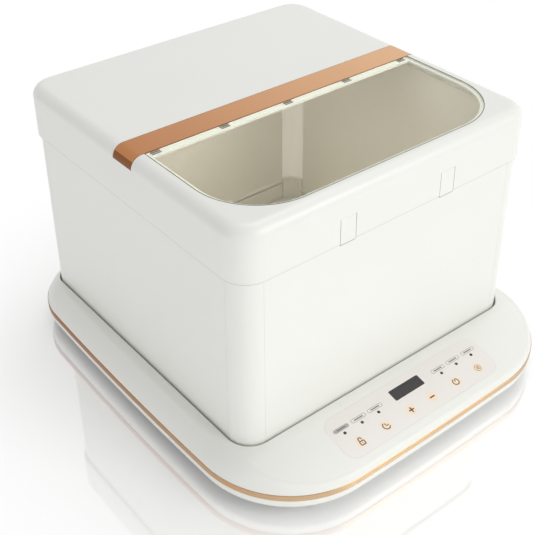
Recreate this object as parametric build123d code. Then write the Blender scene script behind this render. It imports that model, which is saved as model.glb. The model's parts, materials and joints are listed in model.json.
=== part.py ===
from build123d import *
import math
import os

os.makedirs("parts", exist_ok=True)

# Folding dough proofer, millimetres, +Z up, the control panel faces -Y.
# The origin is on the surface it stands on, below the middle of the base.

# Lid
LID_WIDTH = 360.0
LID_DEPTH = 362.6
LID_TOP = 288.0
SKIRT_HEIGHT = 54.8
LID_WALL = 2.5
LID_CORNER_R = 26.5
LID_EDGE_R = 12.0

# Window in the front half of the lid, measured from the middle of the chamber
WINDOW_SIDE = 15.4
WINDOW_END = 14.3
WINDOW_CORNER_R = 66.5
PANE_CLEAR = 0.3
PANE_EDGE = 0.5
LEDGE_WIDTH = 4.0
LEDGE_REAR_WIDTH = 6.5
LEDGE_THICK = 2.2
LEDGE_OVERLAP = 2.0
CLIP_WIDTH = 10.0
CLIP_THICK = 1.6
CLIP_PITCH = 77.0
CLIP_CLEAR = 0.2
BARB_REACH = 0.8
BARB_HEIGHT = 1.2

# Metal strip across the lid
STRIP_FRONT = 22.3
STRIP_WIDTH = 30.8
STRIP_THICK = 1.0
STRIP_PROUD = 0.1
STRIP_DROP = 12.0
STRIP_CLEAR = 0.1

# Latch tabs in the lid's skirt
SKIRT_EDGE = 0.5
TAB_WIDTH = 17.5
TAB_OFFSET = 62.0
TAB_HEIGHT = 26.5
TAB_HANG = 1.0
TAB_SLIT = 0.8
TAB_TOP_GAP = 0.3
PIP_HEIGHT = 0.3
PIP_WIDTH = 12.0
PIP_LENGTH = 3.0
PIP_RAISE = 6.0

# Seat ribs under the lid, just above the tops of the walls
RIB_LENGTH = 24.0
RIB_THICK = 3.0
RIB_GAP = 0.3

# Folding walls
LID_CLEAR = 0.5
WALL_THICK = 5.0
WALL_SEAM = 0.3
WALL_CHAMFER = 0.8
LINING_THICK = 0.8
LINING_MARGIN = 3.0
BARREL_R = 4.0
PIN_R = 1.5
PIN_CLEAR = 0.05
PIN_SEAT = 6.0
PIN_REACH = 12.0
LOWEST_AXIS = 24.5
AXIS_STEP = 6.5
BLOCK_THICK = 8.0
SILL_GAP = 0.3

# Base: how far it reaches beyond the lid, its bowed edges and round corners
SIDE_MARGIN = 25.7
FRONT_MARGIN = 72.2
REAR_MARGIN = 25.2
SIDE_BOW = 6.0
END_BOW = 4.0
FRONT_CORNER_R = 102.0
REAR_CORNER_R = 75.0
RIM_Z = 50.0
TRIM_LOW = 22.2
TRIM_HEIGHT = 7.0
TRIM_PROUD = 0.5
TRIM_DEPTH = 3.0
SIDE_SLANT = 16.0
MIDDLE_SLANT = 5.6
FRONT_SLANT = 6.0
FRONT_MIDDLE_SLANT = 2.0
SLANT_FILLET = 5.0
SHELL_WALL = 3.0
LIP_DEPTH = 2.4
LIP_CLEAR = 0.2
LIP_ROOT = 2.0

# Well that the walls stand in
WELL_GAP = 2.0
WELL_FLOOR = 17.0
WELL_FLOOR_THICK = 2.0
WELL_EDGE = 1.0

# Sloping facet with the control panel
FACET_TILT = 12.0
FACET_START = 6.7
FACET_BLEND_R = 40.0
PANEL_WIDTH = 204.0
PANEL_HEIGHT = 49.5
PANEL_CORNER_R = 13.0
PANEL_START = 6.8
FILM_THICK = 0.6
FILM_CLEAR = 0.1
DISPLAY_WIDTH = 39.6
DISPLAY_HEIGHT = 12.6
DISPLAY_ROW = 14.5
DISPLAY_GLASS = 1.2
DISPLAY_CORNER_R = 1.4
MODULE_WIDTH = 40.2
MODULE_HEIGHT = 12.8
MODULE_DEPTH = 6.6
MODULE_CLEAR = 0.4
LED_ROW = 20.7
LED_X = (43.5, 65.0, 87.0)
LENS_R = 1.7
LED_SIZE = 1.6
LED_HEIGHT = 0.8
KEY_ROW = 36.5
KEY_X = (14.3, 48.0, 80.5)
KEY_PAD_R = 4.5
BOARD_WIDTH = 196.0
BOARD_HEIGHT = 38.0
BOARD_THICK = 1.6
BOARD_POST_R = 3.0
BOARD_POST_MARGIN = 5.0
BOARD_SCREW_R = 1.1
BOARD_SCREW_GRIP = 3.0
BOARD_SCREW_HEAD_R = 2.0
BOARD_SCREW_HEAD = 1.2

# Bottom cover, feet and screws
COVER_LOW = 8.0
COVER_THICK = 2.5
COVER_SLANT = 6.5
COVER_SHOULDER = 1.2
COVER_SHOULDER_Z = 14.0
COVER_INSET = 0.4
COVER_RIM = 6.2
COVER_EDGE_R = 3.0
FOOT_R = 13.0
FOOT_POCKET = 1.0
FOOT_FROM_FRONT = 58.5
FOOT_FROM_REAR = 41.5
FOOT_FROM_SIDE = 30.0
SCREW_R = 2.0
SCREW_HEAD_R = 3.4
SCREW_HEAD = 2.2
SCREW_LENGTH = 18.0
SCREW_CLEAR = 0.3
SCREW_SINK = 0.4
BOSS_R = 4.0
BOSS_PAD_R = 5.5
BOSS_PAD = 2.5
CROSS_REACH = 2.6
CROSS_WIDTH = 1.0
CROSS_DEPTH = 1.0
SIDE_BOSS_INSET = 13.5
SIDE_BOSS_Y = (-60.0, 60.0)
FRONT_BOSS_X = 140.0
FRONT_BOSS_INSET = 27.5
REAR_BOSS_X = 70.0
REAR_BOSS_INSET = 13.5
BLOCK_SCREW_R = 1.5
BLOCK_SCREW_HEAD_R = 2.7
BLOCK_SCREW_HEAD = 1.6
BLOCK_SCREW_GRIP = 8.0

# Heater under the chamber
PLATE_THICK = 2.0
PLATE_CLEAR = 1.5
HEATER_SIZE = 270.0
HEATER_THICK = 1.0
HEATER_GAP = 8.0
PAD_GAP = 0.2
CUTOUT_R = 8.0
CUTOUT_HEIGHT = 5.0
CUTOUT_X = -60.0
SENSOR_X = 60.0
SENSOR_SIZE = (12.0, 6.0, 4.0)
POCKET_CLEAR = 1.0

# Power board and mains inlet
POWER_WIDTH = 120.0
POWER_DEPTH = 34.0
POWER_X = -20.0
POWER_FROM_FRONT = 38.5
POWER_STANDOFF = 2.0
POST_R = 2.5
TRANSFORMER = (24.0, 20.0, 14.0)
RELAY = (19.0, 15.0, 15.0)
CAPACITOR_X = 24.0
CAPACITOR_R = 5.0
CAPACITOR_HEIGHT = 13.0
TERMINAL = (10.0, 12.0, 14.0)
TERMINAL_MARGIN = 2.0
INLET_X = 110.0
INLET_Z = 38.0
INLET_WIDTH = 23.6
INLET_HEIGHT = 14.6
INLET_DEPTH = 14.5
INLET_SINK = 6.5
INLET_BACK = 1.0
INLET_CLEAR = 0.2
INLET_SLOT_WIDTH = 16.2
INLET_SLOT_HEIGHT = 8.6
INLET_SLOT_DEPTH = 12.0
INLET_PIN_R = 1.2
INLET_PIN_PITCH = 8.6
INLET_PIN_LENGTH = 9.0
LEAD_R = 2.0
LEAD_GAP = 0.3
LEAD_Z = 26.0
LEAD_X = 142.0
LEAD_RISE = 18.0
LEAD_BEND_R = 6.0
WIRE_R = 1.2
WIRE_PITCH = 3.6
RIBBON_WIDTH = 12.0
RIBBON_THICK = 0.8
RIBBON_X = -70.0

# Margins of the cuts: how far a cut runs past its faces, how deep a post is rooted
CUT_MARGIN = 1.0
ROOT = 0.5
THROUGH = 10.0

# Sizes that follow from those above
WINDOW_HALF_WIDTH = LID_WIDTH / 2 - WINDOW_SIDE
WINDOW_FRONT = LID_DEPTH / 2 - WINDOW_END
RIB_OFFSET = LID_WIDTH / 4
BASE_WIDTH = LID_WIDTH + 2 * SIDE_MARGIN
FRONT_REACH = LID_DEPTH / 2 + FRONT_MARGIN
REAR_REACH = LID_DEPTH / 2 + REAR_MARGIN
CHAMBER_Y = (FRONT_REACH - REAR_REACH) / 2
BASE_DEPTH = FRONT_REACH + REAR_REACH
SKIRT_LOW = LID_TOP - SKIRT_HEIGHT
LEDGE_TOP = LID_TOP - LID_WALL
WALLS_WIDTH = LID_WIDTH - 2 * (LID_WALL + LID_CLEAR)
WALLS_DEPTH = LID_DEPTH - 2 * (LID_WALL + LID_CLEAR)
WALLS_CORNER_R = LID_CORNER_R - LID_WALL - LID_CLEAR
WALL_TOP = LID_TOP - LID_EDGE_R
CORNER_X = WALLS_WIDTH / 2 - WALLS_CORNER_R
CORNER_Y = WALLS_DEPTH / 2 - WALLS_CORNER_R
TRIM_TOP = TRIM_LOW + TRIM_HEIGHT
WELL_WIDTH = WALLS_WIDTH + 2 * WELL_GAP
WELL_DEPTH = WALLS_DEPTH + 2 * WELL_GAP
WELL_CORNER_R = WALLS_CORNER_R + WELL_GAP
WELL_LOW = WELL_FLOOR - WELL_FLOOR_THICK
PLATE_TOP = WELL_FLOOR + PLATE_THICK
BLOCK_TOP = LOWEST_AXIS + 3 * AXIS_STEP + BARREL_R
COVER_FLOOR = COVER_LOW + COVER_THICK
FACET_Y = CHAMBER_Y - WELL_DEPTH / 2 - FACET_START
BOARD_DROP = DISPLAY_GLASS + MODULE_DEPTH
SCREW_TOP = COVER_LOW + SCREW_SINK + SCREW_LENGTH
HEAD_TOP = COVER_LOW + SCREW_SINK + SCREW_HEAD
LEDGE_LOW = LEDGE_TOP - LEDGE_THICK

SLOPE = math.radians(FACET_TILT)
FACET = Plane(
    origin=(0, FACET_Y, RIM_Z),
    x_dir=(1, 0, 0),
    z_dir=(0, -math.sin(SLOPE), math.cos(SLOPE)),
)

# Each wall: turn about +Z of its local frame, distance of its middle plane from
# the chamber's middle, width between the corner strips, height of its hinge.
WALLS = {
    "left": (-90, (WALLS_WIDTH - WALL_THICK) / 2, 2 * CORNER_Y, LOWEST_AXIS),
    "right": (90, (WALLS_WIDTH - WALL_THICK) / 2, 2 * CORNER_Y, LOWEST_AXIS + AXIS_STEP),
    "front": (0, (WALLS_DEPTH - WALL_THICK) / 2, 2 * CORNER_X, LOWEST_AXIS + 2 * AXIS_STEP),
    "back": (180, (WALLS_DEPTH - WALL_THICK) / 2, 2 * CORNER_X, LOWEST_AXIS + 3 * AXIS_STEP),
}
CORNERS = {
    "front_left": (-1, -1),
    "front_right": (1, -1),
    "back_left": (-1, 1),
    "back_right": (1, 1),
}


def block(width, depth, radius, low, high):
    """Upright block with round corners, centred on the chamber."""
    plan = Pos(0, CHAMBER_Y, low) * RectangleRounded(width, depth, radius)
    return extrude(plan, high - low)


def box_between(x, y, z):
    """Box given by its low and high value along each axis."""
    size = (x[1] - x[0], y[1] - y[0], z[1] - z[0])
    middle = (sum(x) / 2, sum(y) / 2, sum(z) / 2)
    return Pos(*middle) * Box(*size)


def peg(x, y, low, high, radius):
    """Upright cylinder."""
    return Pos(x, y, (low + high) / 2) * Cylinder(radius, high - low)


def rod_x(x, y, z, radius):
    """Cylinder along X between the two values of x."""
    return Pos(sum(x) / 2, y, z) * Rot(0, 90, 0) * Cylinder(radius, x[1] - x[0])


def rod_y(x, y, z, radius):
    """Cylinder along Y between the two values of y."""
    return Pos(x, sum(y) / 2, z) * Rot(90, 0, 0) * Cylinder(radius, y[1] - y[0])


def one_part(pieces):
    """Several separate solids as one node."""
    return Compound(children=[solid for piece in pieces for solid in piece.solids()])


def base_outline(side, front, z):
    """Plan of the base, drawn in by side and front: four bowed edges, round corners."""
    half = BASE_WIDTH / 2 - side
    y_front = -BASE_DEPTH / 2 + front
    y_back = BASE_DEPTH / 2 - side
    y_middle = (y_front + y_back) / 2
    corner_x = half - SIDE_BOW
    a = (-corner_x, y_front + END_BOW)
    b = (corner_x, y_front + END_BOW)
    c = (corner_x, y_back - END_BOW)
    d = (-corner_x, y_back - END_BOW)
    edges = [
        ThreePointArc(a, (0, y_front), b),
        ThreePointArc(b, (half, y_middle), c),
        ThreePointArc(c, (0, y_back), d),
        ThreePointArc(d, (-half, y_middle), a),
    ]
    face = make_face(Wire(edges))
    face = fillet(face.vertices().sort_by(Axis.Y)[:2], FRONT_CORNER_R - side)
    rear = [face.vertices().sort_by_distance(corner)[0] for corner in (c, d)]
    return Pos(0, 0, z) * fillet(rear, REAR_CORNER_R - side)


def outline_block(inset, low, high):
    """Upright block with the base's plan, drawn in all round."""
    return extrude(base_outline(inset, inset, low), high - low)


def dome(wall, low):
    """The base's outer form, or the hollow under a wall of that thickness."""
    top = RIM_Z - wall
    middle = (TRIM_TOP + RIM_Z) / 2 - wall
    sections = [
        base_outline(wall, wall, low),
        base_outline(MIDDLE_SLANT + wall, FRONT_MIDDLE_SLANT + wall, middle),
        base_outline(SIDE_SLANT + wall, FRONT_SLANT + wall, top),
    ]
    reach = BASE_DEPTH
    drop = reach * math.sin(SLOPE)
    run = reach * math.cos(SLOPE)
    profile = make_face(
        Polyline(
            (reach, -reach),
            (reach, top),
            (FACET_Y, top),
            (FACET_Y - run, top - drop),
            (FACET_Y - run, -reach),
            close=True,
        )
    )
    fold = profile.vertices().sort_by_distance((FACET_Y, top))[0]
    profile = fillet(fold, FACET_BLEND_R)
    body = loft(sections) & extrude(Plane.YZ * profile, BASE_WIDTH, both=True)
    rim = [
        edge
        for edge in body.edges()
        if edge.center().Z > low + CUT_MARGIN and abs(edge.tangent_at(0.5).Z) < 0.5 and not is_fold_line(edge)
    ]
    return fillet(rim, SLANT_FILLET - wall)


def is_fold_line(edge):
    """True for the two straight lines across the top where the facet begins."""
    middle = edge.center()
    near = abs(middle.Y - FACET_Y) < FACET_BLEND_R / 2
    return near and abs(middle.X) < 1


def screw_places():
    """Middles of the bottom cover's screws."""
    side_x = BASE_WIDTH / 2 - SIDE_BOSS_INSET
    front_y = FRONT_BOSS_INSET - BASE_DEPTH / 2
    rear_y = BASE_DEPTH / 2 - REAR_BOSS_INSET
    places = [(side * side_x, CHAMBER_Y + y) for side in (-1, 1) for y in SIDE_BOSS_Y]
    places += [(side * FRONT_BOSS_X, front_y) for side in (-1, 1)]
    places += [(side * REAR_BOSS_X, rear_y) for side in (-1, 1)]
    return places


def block_screw_places():
    """Middles of the screws that hold the hinge blocks."""
    inset = (WALLS_CORNER_R - BLOCK_THICK / 2) * math.sqrt(0.5)
    return [
        (sx * (CORNER_X + inset), CHAMBER_Y + sy * (CORNER_Y + inset))
        for sx, sy in CORNERS.values()
    ]


def on_facet(x, row, top, bottom, shape):
    """A flat shape on the control facet, row millimetres down it, between two depths."""
    placed = FACET * Pos(x, -PANEL_START - row, -bottom) * shape
    return extrude(placed, bottom - top, dir=FACET.z_dir)


def lens_places():
    """Places of the indicator lamps along their row."""
    return [side * x for side in (-1, 1) for x in LED_X]


def inlet_face():
    """Y of the mains inlet's outer face."""
    return CHAMBER_Y + REAR_REACH - INLET_SINK


def board_post_places():
    """Places of the control board's posts, as x and row on the facet."""
    x = BOARD_WIDTH / 2 - BOARD_POST_MARGIN
    middle = PANEL_HEIGHT / 2
    y = BOARD_HEIGHT / 2 - BOARD_POST_MARGIN
    return [(sx * x, middle + sy * y) for sx in (-1, 1) for sy in (-1, 1)]


def base_form():
    """The base's outer form with the lip that enters the trim ring."""
    inner = TRIM_DEPTH + LIP_CLEAR
    return dome(0, TRIM_TOP) + outline_block(inner, TRIM_LOW + LIP_CLEAR, TRIM_TOP)


def base_hollow():
    """Room inside the base, narrower beside the lip."""
    ceiling = TRIM_TOP + LIP_ROOT
    upper = dome(SHELL_WALL, TRIM_TOP - SHELL_WALL) & outline_block(0, ceiling, RIM_Z)
    return upper + outline_block(TRIM_DEPTH + LIP_CLEAR + LIP_DEPTH, WELL_LOW, ceiling)


def base_top_shell():
    form = base_form()
    hollow = base_hollow()
    well = block(
        WELL_WIDTH + 2 * SHELL_WALL,
        WELL_DEPTH + 2 * SHELL_WALL,
        WELL_CORNER_R + SHELL_WALL,
        WELL_LOW,
        RIM_Z,
    )
    shell = form - (hollow - well)
    shell += well & hollow
    for x, y in screw_places():
        shell += peg(x, y, COVER_FLOOR + BOSS_PAD, TRIM_TOP, BOSS_R)
        shell += peg(x, y, TRIM_TOP - CUT_MARGIN, RIM_Z, BOSS_R) & hollow
    for x, row in board_post_places():
        shell += on_facet(x, row, SHELL_WALL - ROOT, BOARD_DROP, Circle(BOARD_POST_R))
    shell -= block(WELL_WIDTH, WELL_DEPTH, WELL_CORNER_R, WELL_FLOOR, RIM_Z + CUT_MARGIN)
    opening = HEATER_SIZE + 2 * HEATER_GAP
    shell -= block(opening, opening, HEATER_GAP, WELL_LOW - CUT_MARGIN, WELL_FLOOR + CUT_MARGIN)
    for x, y in screw_places():
        shell -= peg(x, y, COVER_LOW, SCREW_TOP + CUT_MARGIN, SCREW_R)
    for x, y in block_screw_places():
        shell -= peg(x, y, WELL_LOW - CUT_MARGIN, WELL_FLOOR + CUT_MARGIN, BLOCK_SCREW_R + SCREW_CLEAR)
    for x, row in board_post_places():
        depth = BOARD_DROP - BOARD_SCREW_GRIP
        shell -= on_facet(x, row, depth, BOARD_DROP + CUT_MARGIN, Circle(BOARD_SCREW_R))
    pocket = RectangleRounded(
        PANEL_WIDTH + 2 * FILM_CLEAR, PANEL_HEIGHT + 2 * FILM_CLEAR, PANEL_CORNER_R
    )
    shell -= on_facet(0, PANEL_HEIGHT / 2, -CUT_MARGIN, FILM_THICK, pocket)
    display = Rectangle(MODULE_WIDTH + 2 * MODULE_CLEAR, MODULE_HEIGHT + 2 * MODULE_CLEAR)
    shell -= on_facet(0, DISPLAY_ROW, 0, SHELL_WALL + CUT_MARGIN, display)
    for x in lens_places():
        shell -= on_facet(x, LED_ROW, 0, SHELL_WALL + CUT_MARGIN, Circle(LENS_R))
    half_x = INLET_WIDTH / 2 + INLET_CLEAR
    half_z = INLET_HEIGHT / 2 + INLET_CLEAR
    face = inlet_face()
    shell -= box_between(
        (INLET_X - half_x, INLET_X + half_x),
        (face - INLET_DEPTH, face + REAR_REACH),
        (INLET_Z - half_z, INLET_Z + half_z),
    )
    return shell - well_mouth()


def well_mouth():
    """Bevel of the well's edge."""
    rings = [
        Pos(0, CHAMBER_Y, RIM_Z + step)
        * RectangleRounded(WELL_WIDTH + 2 * grow, WELL_DEPTH + 2 * grow, WELL_CORNER_R + grow)
        for step, grow in ((-WELL_EDGE, 0), (WELL_EDGE, 2 * WELL_EDGE))
    ]
    return loft(rings)


def base_trim_ring():
    outer = outline_block(-TRIM_PROUD, TRIM_LOW, TRIM_TOP)
    levels = outer.edges().group_by(Axis.Z)
    outer = chamfer(levels[0] + levels[-1], TRIM_PROUD)
    return outer - outline_block(TRIM_DEPTH, TRIM_LOW, TRIM_TOP)


def base_bottom_cover():
    top = base_outline(COVER_INSET, COVER_INSET, TRIM_LOW)
    shoulder = base_outline(COVER_SHOULDER, COVER_SHOULDER, COVER_SHOULDER_Z)
    low = base_outline(COVER_SLANT, COVER_SLANT, COVER_LOW)
    cover = loft([low, shoulder, top])
    cover = fillet(cover.edges().group_by(Axis.Z)[0], COVER_EDGE_R)
    cover -= outline_block(COVER_RIM, COVER_FLOOR, TRIM_LOW + CUT_MARGIN)
    for x, y in screw_places():
        cover += peg(x, y, COVER_FLOOR - ROOT, COVER_FLOOR + BOSS_PAD, BOSS_PAD_R)
    for x, y in power_post_places():
        cover += peg(x, y, COVER_FLOOR - ROOT, COVER_FLOOR + POWER_STANDOFF, POST_R)
    for x, y in screw_places():
        cover -= peg(x, y, COVER_LOW - CUT_MARGIN, HEAD_TOP, SCREW_HEAD_R + SCREW_CLEAR)
        cover -= peg(x, y, COVER_LOW, COVER_FLOOR + BOSS_PAD + CUT_MARGIN, SCREW_R + SCREW_CLEAR)
    for x, y in foot_places():
        cover -= peg(x, y, COVER_LOW - CUT_MARGIN, COVER_LOW + FOOT_POCKET, FOOT_R + SCREW_CLEAR)
    return cover


def foot_places():
    """Middles of the four feet."""
    side_x = LID_WIDTH / 2 - FOOT_FROM_SIDE
    rows = (FOOT_FROM_FRONT - BASE_DEPTH / 2, BASE_DEPTH / 2 - FOOT_FROM_REAR)
    return [(sx * side_x, y) for sx in (-1, 1) for y in rows]


def rubber_feet():
    feet = []
    for x, y in foot_places():
        foot = peg(x, y, 0, COVER_LOW + FOOT_POCKET, FOOT_R)
        feet.append(chamfer(foot.edges().group_by(Axis.Z)[0], FOOT_POCKET))
    return one_part(feet)


def base_screws():
    screws = []
    for x, y in screw_places():
        seat = COVER_LOW + SCREW_SINK
        head = peg(x, y, seat, seat + SCREW_HEAD, SCREW_HEAD_R)
        depth = (seat, seat + CROSS_DEPTH)
        long_x = (x - CROSS_REACH, x + CROSS_REACH)
        long_y = (y - CROSS_REACH, y + CROSS_REACH)
        thin_x = (x - CROSS_WIDTH / 2, x + CROSS_WIDTH / 2)
        thin_y = (y - CROSS_WIDTH / 2, y + CROSS_WIDTH / 2)
        slot = box_between(long_x, thin_y, depth)
        cross = box_between(thin_x, long_y, depth)
        screws.append(head + peg(x, y, seat, seat + SCREW_LENGTH, SCREW_R) - slot - cross)
    return one_part(screws)


def heater_plate():
    inside_x = WALLS_WIDTH - 2 * WALL_THICK - 2 * PLATE_CLEAR
    inside_y = WALLS_DEPTH - 2 * WALL_THICK - 2 * PLATE_CLEAR
    plate = block(inside_x, inside_y, PLATE_CLEAR, WELL_FLOOR, PLATE_TOP)
    for sx, sy in CORNERS.values():
        reach = WALLS_CORNER_R + PLATE_CLEAR
        x = sx * (WALLS_WIDTH / 2 - reach / 2 + PLATE_CLEAR / 2)
        y = CHAMBER_Y + sy * (WALLS_DEPTH / 2 - reach / 2 + PLATE_CLEAR / 2)
        notch = Pos(x, y, WELL_FLOOR) * Box(reach + PLATE_CLEAR, reach + PLATE_CLEAR, THROUGH)
        plate -= notch
    return plate


def heating_element():
    size = HEATER_SIZE
    mat = block(size, size, HEATER_GAP, WELL_FLOOR - HEATER_THICK, WELL_FLOOR)
    return mat - heater_pockets(WELL_FLOOR - HEATER_THICK - CUT_MARGIN, WELL_FLOOR + CUT_MARGIN)


def heater_pockets(low, high):
    """Room for the thermal cut-out and the sensor."""
    pockets = peg(CUTOUT_X, CHAMBER_Y, low, high, CUTOUT_R + POCKET_CLEAR)
    length, width, _ = SENSOR_SIZE
    middle = (SENSOR_X, CHAMBER_Y, (low + high) / 2)
    pockets += Pos(*middle) * Box(length + 2 * POCKET_CLEAR, width + 2 * POCKET_CLEAR, high - low)
    return pockets


def insulation_pad():
    low = COVER_FLOOR
    high = WELL_FLOOR - HEATER_THICK - PAD_GAP
    pad = block(HEATER_SIZE, HEATER_SIZE, HEATER_GAP, low, high)
    return pad - heater_pockets(low - CUT_MARGIN, high + CUT_MARGIN)


def thermal_cutout():
    body = peg(CUTOUT_X, CHAMBER_Y, WELL_FLOOR - CUTOUT_HEIGHT, WELL_FLOOR, CUTOUT_R)
    return chamfer(body.edges().group_by(Axis.Z)[0], 1)


def temperature_sensor():
    length, width, height = SENSOR_SIZE
    body = Pos(SENSOR_X, CHAMBER_Y, WELL_FLOOR - height / 2) * Box(length, width, height)
    return fillet(body.edges().group_by(Axis.Z)[0], 1)


def corner_zone(sx, sy, low, high):
    """The corner of the chamber outside both flat walls."""
    x = sorted((sx * CORNER_X, sx * WALLS_WIDTH))
    y = sorted((CHAMBER_Y + sy * CORNER_Y, CHAMBER_Y + sy * WALLS_DEPTH))
    return box_between(x, y, (low, high))


def hinge_pin(name, sign):
    """One hinge pin of a wall; sign says at which end."""
    width, height = WALLS[name][2:]
    inner = width / 2 - WALL_SEAM - PIN_REACH
    outer = width / 2 + PIN_SEAT
    pin = rod_x(sorted((sign * inner, sign * outer)), 0, height, PIN_R)
    return wall_frame(name) * pin


def wall_frame(name):
    """Local frame of a wall: X along its hinge, -Y outwards, Z up."""
    turn, distance = WALLS[name][:2]
    return Pos(0, CHAMBER_Y, 0) * Rot(0, 0, turn) * Pos(0, -distance, 0)


def hinge_pins():
    return one_part([hinge_pin(name, sign) for name in WALLS for sign in (-1, 1)])


def hinge_block(sx, sy):
    body = block(WALLS_WIDTH, WALLS_DEPTH, WALLS_CORNER_R, WELL_FLOOR, BLOCK_TOP)
    body -= block(
        WALLS_WIDTH - 2 * BLOCK_THICK,
        WALLS_DEPTH - 2 * BLOCK_THICK,
        WALLS_CORNER_R - BLOCK_THICK,
        WELL_FLOOR - CUT_MARGIN,
        BLOCK_TOP + CUT_MARGIN,
    )
    body &= corner_zone(sx, sy, WELL_FLOOR, BLOCK_TOP)
    for name in WALLS:
        for sign in (-1, 1):
            body -= hinge_pin(name, sign)
    for x, y in block_screw_places():
        body -= peg(x, y, WELL_FLOOR - CUT_MARGIN, WELL_FLOOR + BLOCK_SCREW_GRIP + CUT_MARGIN, BLOCK_SCREW_R)
    return body


def block_screws():
    screws = []
    for x, y in block_screw_places():
        head = peg(x, y, WELL_LOW - BLOCK_SCREW_HEAD, WELL_LOW, BLOCK_SCREW_HEAD_R)
        screws.append(head + peg(x, y, WELL_LOW, WELL_FLOOR + BLOCK_SCREW_GRIP, BLOCK_SCREW_R))
    return one_part(screws)


def wall_panel(name):
    width, height = WALLS[name][2:]
    length = width - 2 * WALL_SEAM
    panel = Pos(0, 0, (height + WALL_TOP) / 2) * Box(length, WALL_THICK, WALL_TOP - height)
    panel = chamfer(panel.edges().group_by(Axis.Z)[-1].filter_by(Axis.X), WALL_CHAMFER)
    panel += rod_x((-length / 2, length / 2), 0, height, BARREL_R)
    for sign in (-1, 1):
        bore = sorted((sign * (length / 2 - PIN_REACH - CUT_MARGIN), sign * length))
        panel -= rod_x(bore, 0, height, PIN_R + PIN_CLEAR)
    return wall_frame(name) * panel


def hinge_sills():
    """Upright strips that close the chamber between the well's floor and each wall."""
    sills = []
    for name in WALLS:
        width, height = WALLS[name][2:]
        length = width - 2 * WALL_SEAM
        top = height - BARREL_R - SILL_GAP
        sill = box_between(
            (-length / 2, length / 2), (-WALL_THICK / 2, WALL_THICK / 2), (WELL_FLOOR, top)
        )
        sills.append(wall_frame(name) * sill)
    return one_part(sills)


def wall_lining(name):
    width, height = WALLS[name][2:]
    length = width - 2 * WALL_SEAM - 2 * LINING_MARGIN
    low = height + BARREL_R + LINING_MARGIN
    high = WALL_TOP - LINING_MARGIN
    sheet = box_between(
        (-length / 2, length / 2), (WALL_THICK / 2, WALL_THICK / 2 + LINING_THICK), (low, high)
    )
    return wall_frame(name) * sheet


def corner_strip(sx, sy):
    low = BLOCK_TOP + WALL_SEAM
    outer = block(WALLS_WIDTH, WALLS_DEPTH, WALLS_CORNER_R, low, WALL_TOP)
    inner = block(
        WALLS_WIDTH - 2 * WALL_THICK,
        WALLS_DEPTH - 2 * WALL_THICK,
        WALLS_CORNER_R - WALL_THICK,
        low - CUT_MARGIN,
        WALL_TOP + CUT_MARGIN,
    )
    return (outer - inner) & corner_zone(sx, sy, low, WALL_TOP)


def lid_form(inset, low):
    """The lid's outer form, or its hollow."""
    form = block(
        LID_WIDTH - 2 * inset, LID_DEPTH - 2 * inset, LID_CORNER_R - inset, low, LID_TOP - inset
    )
    return fillet(form.edges().group_by(Axis.Z)[-1], LID_EDGE_R - inset)


def window_plan(inset, rear_inset, z):
    """Plan of the window: square rear corners at the strip, large round front corners."""
    half = WINDOW_HALF_WIDTH - inset
    front = -WINDOW_FRONT + inset
    rear = -STRIP_FRONT - rear_inset
    plan = Pos(0, (front + rear) / 2) * Rectangle(2 * half, rear - front)
    corners = plan.vertices().group_by(Axis.Y)[0]
    plan = fillet(corners, WINDOW_CORNER_R - inset)
    return Pos(0, CHAMBER_Y, z) * plan


def window_block(inset, rear_inset, low, high):
    return extrude(window_plan(inset, rear_inset, low), high - low)


def strip_band(grow, margin, low):
    """Slab across the lid that follows its top and its two side edges."""
    tall = STRIP_DROP + LID_EDGE_R
    y_low = CHAMBER_Y - STRIP_FRONT - margin
    y_high = CHAMBER_Y - STRIP_FRONT + STRIP_WIDTH + margin
    half = LID_WIDTH / 2 + grow
    band = box_between((-half, half), (y_low, y_high), (LID_TOP - tall, LID_TOP + grow))
    ridges = band.edges().filter_by(Axis.Y).group_by(Axis.Z)[-1]
    band = fillet(ridges, LID_EDGE_R + grow)
    return band & box_between((-LID_WIDTH, LID_WIDTH), (y_low, y_high), (low, LID_TOP + tall))


def clip_places():
    """Where the pane's clips stand: a frame each, X along the edge, +Y outwards."""
    ledge = LEDGE_WIDTH / 2
    rear_y = CHAMBER_Y - STRIP_FRONT - LEDGE_REAR_WIDTH / 2
    front_y = CHAMBER_Y - WINDOW_FRONT + ledge
    side_x = WINDOW_HALF_WIDTH - ledge
    side_y = CHAMBER_Y - (STRIP_FRONT + WINDOW_FRONT - WINDOW_CORNER_R) / 2
    frames = [Pos(n * CLIP_PITCH, rear_y, LEDGE_TOP) for n in (-2, -1, 0, 1, 2)]
    frames += [Pos(n * CLIP_PITCH, front_y, LEDGE_TOP) * Rot(0, 0, 180) for n in (-1, 0, 1)]
    frames += [Pos(sx * side_x, side_y, LEDGE_TOP) * Rot(0, 0, -90 * sx) for sx in (-1, 1)]
    return frames


def window_pane():
    pane = window_block(PANE_CLEAR, PANE_CLEAR, LEDGE_TOP, LID_TOP)
    return chamfer(pane.edges().group_by(Axis.Z)[-1], PANE_EDGE)


def window_clips():
    clips = []
    for frame in clip_places():
        depth = LEDGE_THICK + CLIP_CLEAR
        stem = box_between(
            (-CLIP_WIDTH / 2, CLIP_WIDTH / 2), (-CLIP_THICK / 2, CLIP_THICK / 2), (-depth - BARB_HEIGHT, 0)
        )
        barb = box_between(
            (-CLIP_WIDTH / 2, CLIP_WIDTH / 2),
            (-CLIP_THICK / 2, CLIP_THICK / 2 + BARB_REACH),
            (-depth - BARB_HEIGHT, -depth),
        )
        clips.append(frame * (stem + barb))
    return one_part(clips)


def tab_front(sy):
    """Y of the outer face of the skirt on the tab's side."""
    return CHAMBER_Y + sy * LID_DEPTH / 2


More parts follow.
